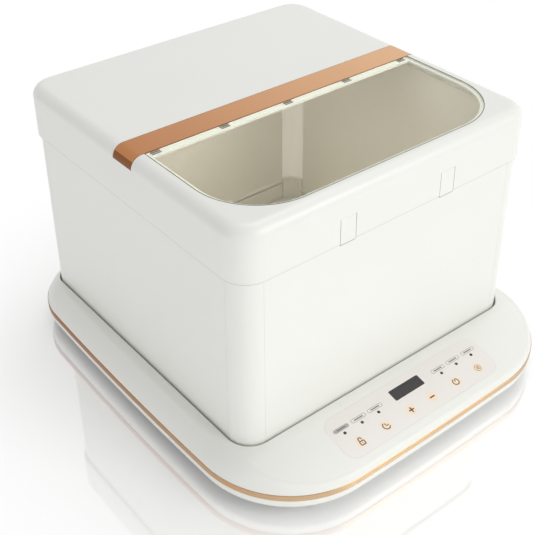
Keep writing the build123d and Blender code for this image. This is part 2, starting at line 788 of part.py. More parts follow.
def lid_cover():
    lid = lid_form(0, SKIRT_LOW) - lid_form(LID_WALL, SKIRT_LOW - CUT_MARGIN)
    rim = lid.edges().group_by(Axis.Z)[0]
    lid = chamfer(rim, SKIRT_EDGE)
    ledge = window_block(-LEDGE_OVERLAP, -LEDGE_OVERLAP, LEDGE_TOP - LEDGE_THICK, LEDGE_TOP)
    lid += ledge
    for sx in (-1, 1):
        for sy in (-1, 1):
            lid += seat_rib(sx, sy, True)
            lid += seat_rib(sx, sy, False)
    lid -= window_block(LEDGE_WIDTH, LEDGE_REAR_WIDTH, LEDGE_LOW - CUT_MARGIN, LID_TOP + CUT_MARGIN)
    lid -= window_block(0, 0, LEDGE_TOP, LID_TOP + CUT_MARGIN)
    channel = strip_band(LID_WALL, 0, LID_TOP - STRIP_DROP - STRIP_CLEAR)
    lid -= channel - strip_band(STRIP_PROUD - STRIP_THICK, CUT_MARGIN, SKIRT_LOW)
    for frame in clip_places():
        slot = Box(CLIP_WIDTH + 2 * CLIP_CLEAR, CLIP_THICK + 2 * CLIP_CLEAR, THROUGH)
        lid -= frame * slot
    for sx in (-1, 1):
        for sy in (-1, 1):
            half = TAB_WIDTH / 2 + TAB_SLIT
            x = (sx * TAB_OFFSET - half, sx * TAB_OFFSET + half)
            y = sorted((tab_front(sy) + sy, tab_front(sy) - sy * 2 * LID_WALL))
            lid -= box_between(x, y, (SKIRT_LOW - CUT_MARGIN, SKIRT_LOW + TAB_HEIGHT))
    return lid


def seat_rib(sx, sy, along_x):
    """Rib under the lid above the middle of a wall's top edge."""
    low = WALL_TOP + RIB_GAP
    high = LEDGE_TOP - RIB_THICK
    size = (RIB_LENGTH, RIB_THICK) if along_x else (RIB_THICK, RIB_LENGTH)
    if along_x:
        x, y = sx * RIB_OFFSET, sy * (WALLS_DEPTH - WALL_THICK) / 2
    else:
        x, y = sx * (WALLS_WIDTH - WALL_THICK) / 2, sy * RIB_OFFSET
    rib = Pos(x, CHAMBER_Y + y, (low + high + RIB_THICK) / 2) * Box(*size, high + RIB_THICK - low)
    return rib & lid_form(LID_WALL / 2, SKIRT_LOW)


def latch_tab(sx, sy):
    """Snap tab in the skirt, round at its top where it bends."""
    x_low = sx * TAB_OFFSET - TAB_WIDTH / 2
    x_high = x_low + TAB_WIDTH
    face = tab_front(sy)
    middle = face - sy * LID_WALL / 2
    axis = SKIRT_LOW + TAB_HEIGHT - TAB_TOP_GAP - LID_WALL / 2
    low = SKIRT_LOW - TAB_HANG
    y = sorted((face, face - sy * LID_WALL))
    tab = box_between((x_low, x_high), y, (low, axis))
    tab += rod_x((x_low, x_high), middle, axis, LID_WALL / 2)
    inner = face - sy * LID_WALL
    pip_y = sorted((inner + sy * LID_WALL / 2, inner - sy * PIP_HEIGHT))
    pip_x = (sx * TAB_OFFSET - PIP_WIDTH / 2, sx * TAB_OFFSET + PIP_WIDTH / 2)
    pip = box_between(pip_x, pip_y, (low + PIP_RAISE, low + PIP_RAISE + PIP_LENGTH))
    return tab + pip


def lid_strip():
    low = LID_TOP - STRIP_DROP
    strip = strip_band(STRIP_PROUD, -STRIP_CLEAR, low)
    return strip - strip_band(STRIP_PROUD - STRIP_THICK, CUT_MARGIN, SKIRT_LOW)


def control_panel_film():
    film = on_facet(
        0, PANEL_HEIGHT / 2, 0, FILM_THICK, RectangleRounded(PANEL_WIDTH, PANEL_HEIGHT, PANEL_CORNER_R)
    )
    gap = FILM_CLEAR
    film -= on_facet(
        0, DISPLAY_ROW, -CUT_MARGIN, FILM_THICK + CUT_MARGIN, display_outline(gap / 2)
    )
    for x in lens_places():
        film -= on_facet(x, LED_ROW, -CUT_MARGIN, FILM_THICK + CUT_MARGIN, Circle(LENS_R))
    return film


def display_outline(grow):
    """Outline of the display's dark window, grown all round."""
    return RectangleRounded(DISPLAY_WIDTH + 2 * grow, DISPLAY_HEIGHT + 2 * grow, DISPLAY_CORNER_R + grow)


def display_window():
    return on_facet(0, DISPLAY_ROW, 0, DISPLAY_GLASS, display_outline(0))


def display_module():
    return on_facet(0, DISPLAY_ROW, DISPLAY_GLASS, BOARD_DROP, Rectangle(MODULE_WIDTH, MODULE_HEIGHT))


def indicator_lenses():
    lenses = [
        on_facet(x, LED_ROW, 0, BOARD_DROP - LED_HEIGHT, Circle(LENS_R - FILM_CLEAR / 2))
        for x in lens_places()
    ]
    return one_part(lenses)


def indicator_lamps():
    lamps = [
        on_facet(x, LED_ROW, BOARD_DROP - LED_HEIGHT, BOARD_DROP, Rectangle(LED_SIZE, LED_SIZE))
        for x in lens_places()
    ]
    return one_part(lamps)


def touch_key_pads():
    pads = [
        on_facet(side * x, KEY_ROW, SHELL_WALL + FILM_CLEAR, BOARD_DROP, Circle(KEY_PAD_R))
        for side in (-1, 1)
        for x in KEY_X
    ]
    return one_part(pads)


def control_board():
    board = on_facet(
        0, PANEL_HEIGHT / 2, BOARD_DROP, BOARD_DROP + BOARD_THICK, Rectangle(BOARD_WIDTH, BOARD_HEIGHT)
    )
    for x, row in board_post_places():
        hole = Circle(BOARD_SCREW_R + FILM_CLEAR)
        board -= on_facet(x, row, BOARD_DROP - CUT_MARGIN, BOARD_DROP + BOARD_THICK + CUT_MARGIN, hole)
    return board


def board_screws():
    screws = []
    under = BOARD_DROP + BOARD_THICK
    for x, row in board_post_places():
        shank = on_facet(x, row, BOARD_DROP - BOARD_SCREW_GRIP, under, Circle(BOARD_SCREW_R))
        head = on_facet(x, row, under, under + BOARD_SCREW_HEAD, Circle(BOARD_SCREW_HEAD_R))
        screws.append(shank + head)
    return one_part(screws)


def power_middle():
    return POWER_X, POWER_FROM_FRONT - BASE_DEPTH / 2


def power_post_places():
    """Posts of the bottom cover under the power board."""
    x, y = power_middle()
    dx = POWER_WIDTH / 2 - 2 * POST_R
    dy = POWER_DEPTH / 2 - 2 * POST_R
    return [(x + sx * dx, y + sy * dy) for sx in (-1, 1) for sy in (-1, 1)]


def power_board_level():
    return COVER_FLOOR + POWER_STANDOFF


def power_board():
    x, y = power_middle()
    low = power_board_level()
    return Pos(x, y, low + BOARD_THICK / 2) * Box(POWER_WIDTH, POWER_DEPTH, BOARD_THICK)


def power_components():
    x, y = power_middle()
    low = power_board_level() + BOARD_THICK
    quarter = POWER_WIDTH / 4
    transformer = Pos(x, y, low + TRANSFORMER[2] / 2) * Box(*TRANSFORMER)
    relay = Pos(x - quarter, y, low + RELAY[2] / 2) * Box(*RELAY)
    capacitor = peg(x + CAPACITOR_X, y, low, low + CAPACITOR_HEIGHT, CAPACITOR_R)
    terminal_x = terminal_face() - TERMINAL[0] / 2
    terminal = Pos(terminal_x, y, low + TERMINAL[2] / 2) * Box(*TERMINAL)
    return one_part([transformer, relay, capacitor, terminal])


def terminal_face():
    """X of the terminal block's side that the mains lead enters."""
    return POWER_X + POWER_WIDTH / 2 - TERMINAL_MARGIN


def ribbon_cable():
    """Flat cable that joins the two boards."""
    y = power_middle()[1]
    low = power_board_level() + BOARD_THICK
    depth = (FACET_Y - y - BOARD_DROP * math.sin(SLOPE)) / math.cos(SLOPE)
    high = RIM_Z - depth * math.sin(SLOPE) - (BOARD_DROP + BOARD_THICK) * math.cos(SLOPE)
    half = RIBBON_WIDTH / 2
    gap = 2 * FILM_CLEAR
    return box_between(
        (RIBBON_X - half, RIBBON_X + half), (y, y + RIBBON_THICK), (low, high - gap - RIBBON_THICK)
    )


def power_inlet():
    face = inlet_face()
    body = box_between(
        (INLET_X - INLET_WIDTH / 2, INLET_X + INLET_WIDTH / 2),
        (face - INLET_DEPTH, face),
        (INLET_Z - INLET_HEIGHT / 2, INLET_Z + INLET_HEIGHT / 2),
    )
    body = fillet(body.edges().filter_by(Axis.Y), 1)
    slot = Plane.XZ * SlotOverall(INLET_SLOT_WIDTH, INLET_SLOT_HEIGHT)
    cavity = extrude(Pos(INLET_X, face - INLET_SLOT_DEPTH, INLET_Z) * slot, -INLET_SLOT_DEPTH - CUT_MARGIN)
    body -= cavity
    for sign in (-1, 1):
        x = INLET_X + sign * INLET_PIN_PITCH / 2
        body -= rod_y(x, (face - INLET_DEPTH + INLET_BACK, face), INLET_Z, INLET_PIN_R)
    return body


def inlet_pins():
    face = inlet_face()
    seat = face - INLET_DEPTH + INLET_BACK
    tip = face - INLET_SLOT_DEPTH + INLET_PIN_LENGTH
    pins = []
    for sign in (-1, 1):
        pin = rod_y(INLET_X + sign * INLET_PIN_PITCH / 2, (seat, tip), INLET_Z, INLET_PIN_R)
        pins.append(fillet(pin.edges().group_by(Axis.Y)[-1], INLET_PIN_R / 2))
    return one_part(pins)


def inlet_lead():
    """Two-core lead from the inlet, under the well's floor, to the power board."""
    back = inlet_face() - INLET_DEPTH / 2
    front = power_middle()[1]
    low = COVER_FLOOR + LEAD_R + LEAD_GAP
    rise = terminal_face() + LEAD_RISE
    points = [
        (INLET_X, back, INLET_Z - INLET_HEIGHT / 2),
        (INLET_X, back, low),
        (LEAD_X, back, low),
        (LEAD_X, front, low),
        (rise, front, low),
        (rise, front, LEAD_Z),
        (terminal_face(), front, LEAD_Z),
    ]
    path = FilletPolyline(*points, radius=LEAD_BEND_R)
    section = Plane(origin=path @ 0, z_dir=path % 0) * Circle(LEAD_R)
    return sweep(section, path=path)


def heater_leads():
    """Wires under the well's floor from the power board to the heater, cut-out and sensor."""
    x, y = power_middle()
    near = y + POWER_DEPTH / 2
    far = CHAMBER_Y - HEATER_SIZE / 2
    z = COVER_FLOOR + WIRE_R + PAD_GAP
    return one_part([rod_y(x + n * WIRE_PITCH, (near, far), z, WIRE_R) for n in (-2, -1, 0, 1, 2)])


PARTS = {
    "base_top_shell": base_top_shell,
    "base_trim_ring": base_trim_ring,
    "base_bottom_cover": base_bottom_cover,
    "rubber_feet": rubber_feet,
    "base_screws": base_screws,
    "heater_plate": heater_plate,
    "heating_element": heating_element,
    "insulation_pad": insulation_pad,
    "thermal_cutout": thermal_cutout,
    "temperature_sensor": temperature_sensor,
    "hinge_sills": hinge_sills,
    "hinge_pins": hinge_pins,
    "block_screws": block_screws,
    "lid_cover": lid_cover,
    "window_pane": window_pane,
    "window_clips": window_clips,
    "lid_strip": lid_strip,
    "control_panel_film": control_panel_film,
    "display_window": display_window,
    "display_module": display_module,
    "indicator_lenses": indicator_lenses,
    "indicator_lamps": indicator_lamps,
    "touch_key_pads": touch_key_pads,
    "control_board": control_board,
    "board_screws": board_screws,
    "power_board": power_board,
    "power_components": power_components,
    "ribbon_cable": ribbon_cable,
    "power_inlet": power_inlet,
    "inlet_pins": inlet_pins,
    "inlet_lead": inlet_lead,
    "heater_leads": heater_leads,
}

for node, make in PARTS.items():
    export_step(make(), f"parts/{node}.step")
for corner, (sx, sy) in CORNERS.items():
    export_step(hinge_block(sx, sy), f"parts/hinge_block_{corner}.step")
    export_step(corner_strip(sx, sy), f"parts/corner_strip_{corner}.step")
    export_step(latch_tab(sx, sy), f"parts/latch_tab_{corner}.step")
for name in WALLS:
    export_step(wall_panel(name), f"parts/{name}_wall.step")
    export_step(wall_lining(name), f"parts/{name}_wall_lining.step")
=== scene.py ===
# %% [markdown]
# # A folding dough proofer, dressed in Blender
# The proofer is a warm box for rising dough: a low heated base with a touch panel,
# four walls that fold down into the base, and a lid with a window.
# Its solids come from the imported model, already in place and in metres.
# This lesson gives each of them a finish, adds the small printed and soft pieces,
# and sets up a plain studio with the camera.

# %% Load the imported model
import json
import math

import bmesh
import bpy
from mathutils import Matrix, Vector


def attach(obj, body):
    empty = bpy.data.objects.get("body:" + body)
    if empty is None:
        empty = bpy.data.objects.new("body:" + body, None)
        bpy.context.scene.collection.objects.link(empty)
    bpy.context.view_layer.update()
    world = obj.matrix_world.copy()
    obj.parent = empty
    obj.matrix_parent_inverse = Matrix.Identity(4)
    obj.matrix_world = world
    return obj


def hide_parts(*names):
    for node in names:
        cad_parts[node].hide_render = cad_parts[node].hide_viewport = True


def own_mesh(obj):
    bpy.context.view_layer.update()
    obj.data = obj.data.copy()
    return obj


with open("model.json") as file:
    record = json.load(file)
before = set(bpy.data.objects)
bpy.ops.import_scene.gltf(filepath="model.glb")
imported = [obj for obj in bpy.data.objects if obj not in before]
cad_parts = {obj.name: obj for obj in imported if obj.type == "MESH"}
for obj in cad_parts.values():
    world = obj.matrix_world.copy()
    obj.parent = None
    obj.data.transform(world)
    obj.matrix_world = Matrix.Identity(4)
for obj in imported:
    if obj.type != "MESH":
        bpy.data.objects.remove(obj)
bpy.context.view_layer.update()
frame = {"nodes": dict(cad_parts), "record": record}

MM = 0.001
nodes = frame["nodes"]

# %% [markdown]
# ## Small helpers for finishes
# Blender works with linear light, while we read colours on a screen from 0 to 255,
# so `tone` turns the one into the other. `new_finish` makes a material whose fixed
# numbers sit on the shader's own sockets. `use_effect` puts a shared effect in it.

# %% Helpers for materials
def tone(red, green, blue):
    """A screen colour, 0 to 255, as linear red, green, blue and alpha."""
    shares = [value / 255 for value in (red, green, blue)]
    return tuple(s / 12.92 if s <= 0.04045 else ((s + 0.055) / 1.055) ** 2.4 for s in shares) + (1.0,)


def new_finish(name, **fixed):
    """A material and its shader, with the fixed values set on the shader's sockets."""
    finish = bpy.data.materials.new(name)
    finish.use_nodes = True
    shader = finish.node_tree.nodes["Principled BSDF"]
    for socket, value in fixed.items():
        shader.inputs[socket.replace("_", " ")].default_value = value
    return finish, shader


def object_place(finish):
    """The socket that gives each point's place on the object."""
    return finish.node_tree.nodes.new("ShaderNodeTexCoord").outputs["Object"]


def use_effect(finish, effect, place, **values):
    """Puts a shared effect in a material, reading that place, with its own values."""
    node = finish.node_tree.nodes.new("ShaderNodeGroup")
    node.node_tree = effect
    for socket, value in values.items():
        node.inputs[socket.replace("_", " ")].default_value = value
    finish.node_tree.links.new(place, node.inputs["Place"])
    return node


def add_relief(finish, shader, height, depth, strength=1.0):
    """Small relief on the surface: depth is in metres."""
    bump = finish.node_tree.nodes.new("ShaderNodeBump")
    bump.inputs["Distance"].default_value = depth
    bump.inputs["Strength"].default_value = strength
    finish.node_tree.links.new(height, bump.inputs["Height"])
    finish.node_tree.links.new(bump.outputs["Normal"], shader.inputs["Normal"])


def wire(finish, source, target):
    """Links an output to an input of the material's nodes."""
    finish.node_tree.links.new(source, target)


print("white of the lid in linear light:", [round(v, 3) for v in tone(240, 241, 236)[:3]])

# %% [markdown]
# ## Effects that several finishes share
# A moulded surface is never one flat value: its colour drifts a little, its gloss
# changes where it was handled, and it has a fine grain from the mould. A brushed
# metal has long scratches along one direction. Each of these is a node group with
# named inputs, built once and placed in many materials with different numbers.

# %% A builder for shader node groups
def effect_tree(name, inputs, outputs):
    """An empty shader group with its named sockets, and its two end nodes."""
    tree = bpy.data.node_groups.new(name, "ShaderNodeTree")
    kinds = {"vector": "NodeSocketVector", "colour": "NodeSocketColor", "value": "NodeSocketFloat"}
    for label, kind, value in inputs:
        socket = tree.interface.new_socket(label, in_out="INPUT", socket_type=kinds[kind])
        if value is not None:
            socket.default_value = value
    for label, kind in outputs:
        tree.interface.new_socket(label, in_out="OUTPUT", socket_type=kinds[kind])
    return tree, tree.nodes.new("NodeGroupInput").outputs, tree.nodes.new("NodeGroupOutput").inputs


def noise(tree, place, scale, detail):
    """A noise texture that reads a place and a scale socket."""
    node = tree.nodes.new("ShaderNodeTexNoise")
    node.inputs["Detail"].default_value = detail
    tree.links.new(place, node.inputs["Vector"])
    tree.links.new(scale, node.inputs["Scale"])
    return node.outputs["Fac"]


def sums(tree, operation, first, second, clamp=False):
    """One step of arithmetic: each side is a socket or a number."""
    node = tree.nodes.new("ShaderNodeMath")
    node.operation = operation
    node.use_clamp = clamp
    for socket, value in zip(node.inputs, (first, second)):
        if isinstance(value, (int, float)):
            socket.default_value = value
        else:
            tree.links.new(value, socket)
    return node.outputs[0]


def by_kind(sockets, name, kind):
    """The socket of that name and kind, for nodes that repeat a name."""
    return next(s for s in sockets if s.name == name and s.type == kind)


def colour_mix(tree, share, first, second):
    """Two colours mixed by a share; each is a socket or a colour."""
    node = tree.nodes.new("ShaderNodeMix")
    node.data_type = "RGBA"
    parts = ((by_kind(node.inputs, "Factor", "VALUE"), share),
             (by_kind(node.inputs, "A", "RGBA"), first),
             (by_kind(node.inputs, "B", "RGBA"), second))
    for socket, value in parts:
        if isinstance(value, (tuple, float, int)):
            socket.default_value = value
        else:
            tree.links.new(value, socket)
    return by_kind(node.outputs, "Result", "RGBA")


# %% Moulded skin: drifting colour, handled gloss and mould grain
def moulded_skin():
    tree, given, out = effect_tree(
        "moulded_skin",
        [("Place", "vector", None), ("Light Tone", "colour", None), ("Deep Tone", "colour", None),
         ("Drift Scale", "value", 9.0), ("Grain Scale", "value", 900.0),
         ("Roughness", "value", 0.4), ("Gloss Change", "value", 0.08)],
        [("Tone", "colour"), ("Roughness", "value"), ("Grain", "value")],
    )
    drift = noise(tree, given["Place"], given["Drift Scale"], 3.0)
    handled_scale = sums(tree, "MULTIPLY", given["Drift Scale"], 4.0)
    handled = noise(tree, given["Place"], handled_scale, 5.0)
    grain = noise(tree, given["Place"], given["Grain Scale"], 2.0)
    tree.links.new(colour_mix(tree, drift, given["Light Tone"], given["Deep Tone"]), out["Tone"])
    change = sums(tree, "MULTIPLY", sums(tree, "SUBTRACT", handled, 0.5), given["Gloss Change"])
    tree.links.new(sums(tree, "ADD", given["Roughness"], change, True), out["Roughness"])
    tree.links.new(grain, out["Grain"])
    return tree


MOULDED = moulded_skin()
print("effect", MOULDED.name, "gives", [s.name for s in MOULDED.interface.items_tree if s.in_out == "OUTPUT"])

# %% Brushed metal: long fine lines along X, with a slow change of tone
def brushed_lines():
    tree, given, out = effect_tree(
        "brushed_lines",
        [("Place", "vector", None), ("Light Tone", "colour", None), ("Deep Tone", "colour", None),
         ("Along", "value", 12.0), ("Across", "value", 2600.0),
         ("Roughness", "value", 0.3), ("Gloss Change", "value", 0.15)],
        [("Tone", "colour"), ("Roughness", "value"), ("Lines", "value")],
    )
    split = tree.nodes.new("ShaderNodeSeparateXYZ")
    tree.links.new(given["Place"], split.inputs[0])
    stretched = tree.nodes.new("ShaderNodeCombineXYZ")
    for axis, scale in (("X", "Along"), ("Y", "Across"), ("Z", "Across")):
        tree.links.new(sums(tree, "MULTIPLY", split.outputs[axis], given[scale]), stretched.inputs[axis])
    lines = tree.nodes.new("ShaderNodeTexNoise")
    lines.inputs["Scale"].default_value = 1.0
    lines.inputs["Detail"].default_value = 3.0
    tree.links.new(stretched.outputs[0], lines.inputs["Vector"])
    drift = tree.nodes.new("ShaderNodeTexNoise")
    drift.inputs["Scale"].default_value = 14.0
    tree.links.new(given["Place"], drift.inputs["Vector"])
    share = sums(tree, "MULTIPLY", sums(tree, "ADD", lines.outputs["Fac"], drift.outputs["Fac"]), 0.5)
    tree.links.new(colour_mix(tree, share, given["Light Tone"], given["Deep Tone"]), out["Tone"])
    change = sums(tree, "MULTIPLY", sums(tree, "SUBTRACT", lines.outputs["Fac"], 0.5), given["Gloss Change"])
    tree.links.new(sums(tree, "ADD", given["Roughness"], change, True), out["Roughness"])
    tree.links.new(lines.outputs["Fac"], out["Lines"])
    return tree


BRUSHED = brushed_lines()
print("effect", BRUSHED.name, "has", len(BRUSHED.nodes), "nodes")

# %% A soft round spot about a centre, for glows and lamps
def soft_spot():
    tree, given, out = effect_tree(
        "soft_spot",
        [("Place", "vector", None), ("Centre", "vector", None),
         ("Inner Radius", "value", 0.001), ("Outer Radius", "value", 0.006)],
        [("Mask", "value")],
    )
    distance = tree.nodes.new("ShaderNodeVectorMath")
    distance.operation = "DISTANCE"
    tree.links.new(given["Place"], distance.inputs[0])
    tree.links.new(given["Centre"], distance.inputs[1])
    ramp = tree.nodes.new("ShaderNodeMapRange")
    ramp.interpolation_type = "SMOOTHERSTEP"
    ramp.inputs["To Min"].default_value = 1.0
    ramp.inputs["To Max"].default_value = 0.0
    tree.links.new(distance.outputs["Value"], ramp.inputs["Value"])
    tree.links.new(given["Inner Radius"], ramp.inputs["From Min"])
    tree.links.new(given["Outer Radius"], ramp.inputs["From Max"])
    tree.links.new(ramp.outputs["Result"], out["Mask"])
    return tree


SPOT = soft_spot()
print("effect", SPOT.name, "fades from its inner to its outer radius")

# %% Fibres and tracks: crossing bands for felt, foam and printed tracks
def fine_bands():
    tree, given, out = effect_tree(
        "fine_bands",
        [("Place", "vector", None), ("Pitch", "value", 0.002), ("Width", "value", 0.5),
         ("Wobble", "value", 0.2)],
        [("Bands", "value"), ("Cross Bands", "value")],
    )
    shake = tree.nodes.new("ShaderNodeTexNoise")
    shake.inputs["Scale"].default_value = 120.0
    tree.links.new(given["Place"], shake.inputs["Vector"])
    split = tree.nodes.new("ShaderNodeSeparateXYZ")
    tree.links.new(given["Place"], split.inputs[0])
    for axis, name in (("X", "Bands"), ("Y", "Cross Bands")):
        turns = sums(tree, "DIVIDE", split.outputs[axis], given["Pitch"])
        moved = sums(tree, "ADD", turns, sums(tree, "MULTIPLY", shake.outputs["Fac"], given["Wobble"]))
        saw = sums(tree, "PINGPONG", moved, 1.0)
        tree.links.new(sums(tree, "LESS_THAN", saw, given["Width"]), out[name])
    return tree


BANDS = fine_bands()
print("effect", BANDS.name, "repeats every pitch")

# %% [markdown]
# ## Finishes for the moulded plastics
# The shell, lid and walls are satin white ABS with a slight warm tint. The lining
# inside is a beige sheet, and the soft corners are a slightly duller white. One
# function makes all of these from the moulded effect, because they differ only in
# tone, gloss and grain. The lid has the same white, and its skirt ends in a thin line
# of painted shade, which stands in for the shade where its cut lower edge turns away from the light.

# %% Plastic finishes
def plastic(name, light, deep, roughness, change=0.08, drift=9.0, grain=900.0, depth=4e-5, **fixed):
    finish, shader = new_finish(name, **fixed)
    skin = use_effect(
        finish, MOULDED, object_place(finish), Light_Tone=tone(*light), Deep_Tone=tone(*deep),
        Drift_Scale=drift, Grain_Scale=grain, Roughness=roughness, Gloss_Change=change,
    )
    wire(finish, skin.outputs["Tone"], shader.inputs["Base Color"])
    wire(finish, skin.outputs["Roughness"], shader.inputs["Roughness"])
    add_relief(finish, shader, skin.outputs["Grain"], depth, 0.35)
    return finish


finishes = {
    "white_plastic": plastic("satin_white", (243, 243, 238), (239, 240, 234), 0.34, IOR=1.5),
    "lining": plastic("beige_lining", (251, 247, 237), (249, 245, 233), 0.5, drift=6.0),
    "dark_parts": plastic("black_moulding", (42, 42, 44), (30, 30, 32), 0.45, grain=1500.0),
    "smoked_plastic": plastic("smoked_window", (36, 31, 34), (29, 25, 29), 0.16, 0.05, Coat_Weight=0.4),
    "lens_plastic": plastic("lamp_lens", (66, 59, 57), (50, 44, 43), 0.22, 0.05, drift=300.0),
    "rubber": plastic("foot_rubber", (62, 62, 62), (46, 46, 47), 0.75, 0.15, 30.0, 2200.0, 1e-4),
    "cable_plastic": plastic("cable_sleeve", (70, 70, 72), (52, 52, 54), 0.5, 0.1, 40.0, 1600.0),
}


def painted_edge_shade_plastic(name, level, height, edge):
    """White plastic with a thin line of painted shade along a lower edge at that level, painted shade in the clip slots
    and painted light on its back faces.
    """
    finish, shader = new_finish(name, IOR=1.5)
    tree, place = finish.node_tree, object_place(finish)
    skin = use_effect(
        finish, MOULDED, place, Light_Tone=tone(243, 243, 238), Deep_Tone=tone(239, 240, 234),
        Drift_Scale=9.0, Grain_Scale=900.0, Roughness=0.34, Gloss_Change=0.08,
    )
    split = tree.nodes.new("ShaderNodeSeparateXYZ")
    wire(finish, place, split.inputs[0])
    # Painted shade: a thin darker line just above the given level, for the shade under the cut edge.
    near = sums(tree, "LESS_THAN", split.outputs["Z"], level + height)
    colour = colour_mix(tree, near, skin.outputs["Tone"], tone(*edge))
    # Painted shade: dark bars in the slots behind the rear clips.
    colour = colour_mix(tree, clip_slot_shade(tree, split), colour, tone(*SLOT_SHADE_TONE))
    wire(finish, colour, shader.inputs["Base Color"])
    wire(finish, skin.outputs["Roughness"], shader.inputs["Roughness"])
    add_relief(finish, shader, skin.outputs["Grain"], 4e-5, 0.35)
    # Painted light: back faces glow with their own colour, standing in for the light on the ledge seen through the
    # pane.
    side = tree.nodes.new("ShaderNodeNewGeometry")
    wire(finish, colour, shader.inputs["Emission Color"])
    wire(finish, sums(tree, "MULTIPLY", side.outputs["Backfacing"], BACKFACE_PAINTED_LIGHT), shader.inputs["Emission Strength"])
    return finish


def clip_slot_shade(tree, split):
    """Mask of painted shade in the slots behind the pane's rear clips, which repeat along X."""
    off_clip = sums(tree, "PINGPONG", split.outputs["X"], CLIP_PITCH / 2)
    near_clip = sums(tree, "LESS_THAN", off_clip, CLIP_HALF)
    behind = sums(tree, "GREATER_THAN", split.outputs["Y"], -0.6 * MM)
    before = sums(tree, "LESS_THAN", split.outputs["Y"], 1.3 * MM)
    high = sums(tree, "LESS_THAN", split.outputs["Z"], 287.0 * MM)
    rows = sums(tree, "MULTIPLY", sums(tree, "MULTIPLY", behind, before), high)
    return sums(tree, "MULTIPLY", rows, near_clip)


def clip_plastic():
    """White clips; those behind the window are painted dark, a painted shade for the slot they lie in."""
    finish, shader = new_finish("clip_white", IOR=1.5)
    tree, place = finish.node_tree, object_place(finish)
    skin = use_effect(
        finish, MOULDED, place, Light_Tone=tone(246, 246, 241), Deep_Tone=tone(243, 243, 238),
        Drift_Scale=9.0, Grain_Scale=900.0, Roughness=0.34, Gloss_Change=0.08,
    )
    split = tree.nodes.new("ShaderNodeSeparateXYZ")
    wire(finish, place, split.inputs[0])
    behind = sums(tree, "GREATER_THAN", split.outputs["Y"], -0.02)
    # Painted shade: the clips behind the window take the slot's shade tone.
    colour = colour_mix(tree, behind, skin.outputs["Tone"], tone(*SLOT_SHADE_TONE))
    wire(finish, colour, shader.inputs["Base Color"])
    wire(finish, skin.outputs["Roughness"], shader.inputs["Roughness"])
    add_relief(finish, shader, skin.outputs["Grain"], 4e-5, 0.35)
    # Painted light: back faces glow with their own colour, standing in for the light on the ledge seen through the
    # pane.
    side = tree.nodes.new("ShaderNodeNewGeometry")
    wire(finish, colour, shader.inputs["Emission Color"])
    wire(finish, sums(tree, "MULTIPLY", side.outputs["Backfacing"], BACKFACE_PAINTED_LIGHT), shader.inputs["Emission Strength"])
    return finish


def painted_shade_base():
    """White plastic with painted shade that darkens it towards the undercut near the table, on the side off the light.
    """
    finish, shader = new_finish("base_cover_white", IOR=1.5)
    tree, place = finish.node_tree, object_place(finish)
    skin = use_effect(
        finish, MOULDED, place, Light_Tone=tone(243, 243, 238), Deep_Tone=tone(239, 240, 234),
        Drift_Scale=9.0, Grain_Scale=900.0, Roughness=0.4, Gloss_Change=0.08,
    )
    split = tree.nodes.new("ShaderNodeSeparateXYZ")
    wire(finish, place, split.inputs[0])
    height = tree.nodes.new("ShaderNodeMapRange")
    height.inputs["From Min"].default_value = 8.0 * MM
    height.inputs["From Max"].default_value = 15.0 * MM
    wire(finish, split.outputs["Z"], height.inputs["Value"])
    front = tree.nodes.new("ShaderNodeMapRange")
    front.inputs["From Min"].default_value = -0.12
    front.inputs["From Max"].default_value = 0.04
    wire(finish, sums(tree, "SUBTRACT", split.outputs["X"], split.outputs["Y"]), front.inputs["Value"])
    # Painted shade: the dark tone fills the band near the bottom, less towards the front right, where the light falls.
    lit = sums(tree, "MAXIMUM", height.outputs["Result"], sums(tree, "MULTIPLY", front.outputs["Result"], 0.65))
    shade = colour_mix(tree, lit, tone(104, 104, 102), skin.outputs["Tone"])
    wire(finish, shade, shader.inputs["Base Color"])
    wire(finish, skin.outputs["Roughness"], shader.inputs["Roughness"])
    add_relief(finish, shader, skin.outputs["Grain"], 4e-5, 0.35)
    return finish


SKIRT_LOW = 233.2 * MM
# Strength of the painted light on back faces.
BACKFACE_PAINTED_LIGHT = 0.36
CLIP_PITCH, CLIP_HALF = 77.0 * MM, 5.2 * MM
# Colour of the painted shade in the clip slots.
SLOT_SHADE_TONE = (156, 149, 139)
# The lid's skirt and the latch tab end in a thin line of painted shade.
finishes["lid_plastic"] = painted_edge_shade_plastic("lid_white", SKIRT_LOW, 0.9 * MM, (200, 201, 194))
finishes["tab_plastic"] = painted_edge_shade_plastic("tab_white", SKIRT_LOW - 1.0 * MM, 1.0 * MM, (186, 187, 180))
finishes["clip_plastic"] = clip_plastic()
finishes["underside"] = painted_shade_base()
print("plastic finishes:", ", ".join(sorted(finishes)))

# %% [markdown]
# ## Finishes for the metals
# The strip across the lid and the line round the base are rose-gold coloured metal
# with a satin, brushed surface: long lines along the strip. Their tone holds a painted
# reflection, browner at the strip's left end and at the left and back of the base's line,
# and painted shade along their edges. Screws and pins are plain steel. The heater plate
# is aluminium under a beige lacquer, so it looks like the lining.

# %% Metal finishes
def metal(name, light, deep, roughness, change, along, across, depth=1.5e-5, **fixed):
    finish, shader = new_finish(name, Metallic=1.0, **fixed)
    lines = use_effect(
        finish, BRUSHED, object_place(finish), Light_Tone=tone(*light), Deep_Tone=tone(*deep),
        Along=along, Across=across, Roughness=roughness, Gloss_Change=change,
    )
    wire(finish, lines.outputs["Tone"], shader.inputs["Base Color"])
    wire(finish, lines.outputs["Roughness"], shader.inputs["Roughness"])
    add_relief(finish, shader, lines.outputs["Lines"], depth, 0.3)
    return finish


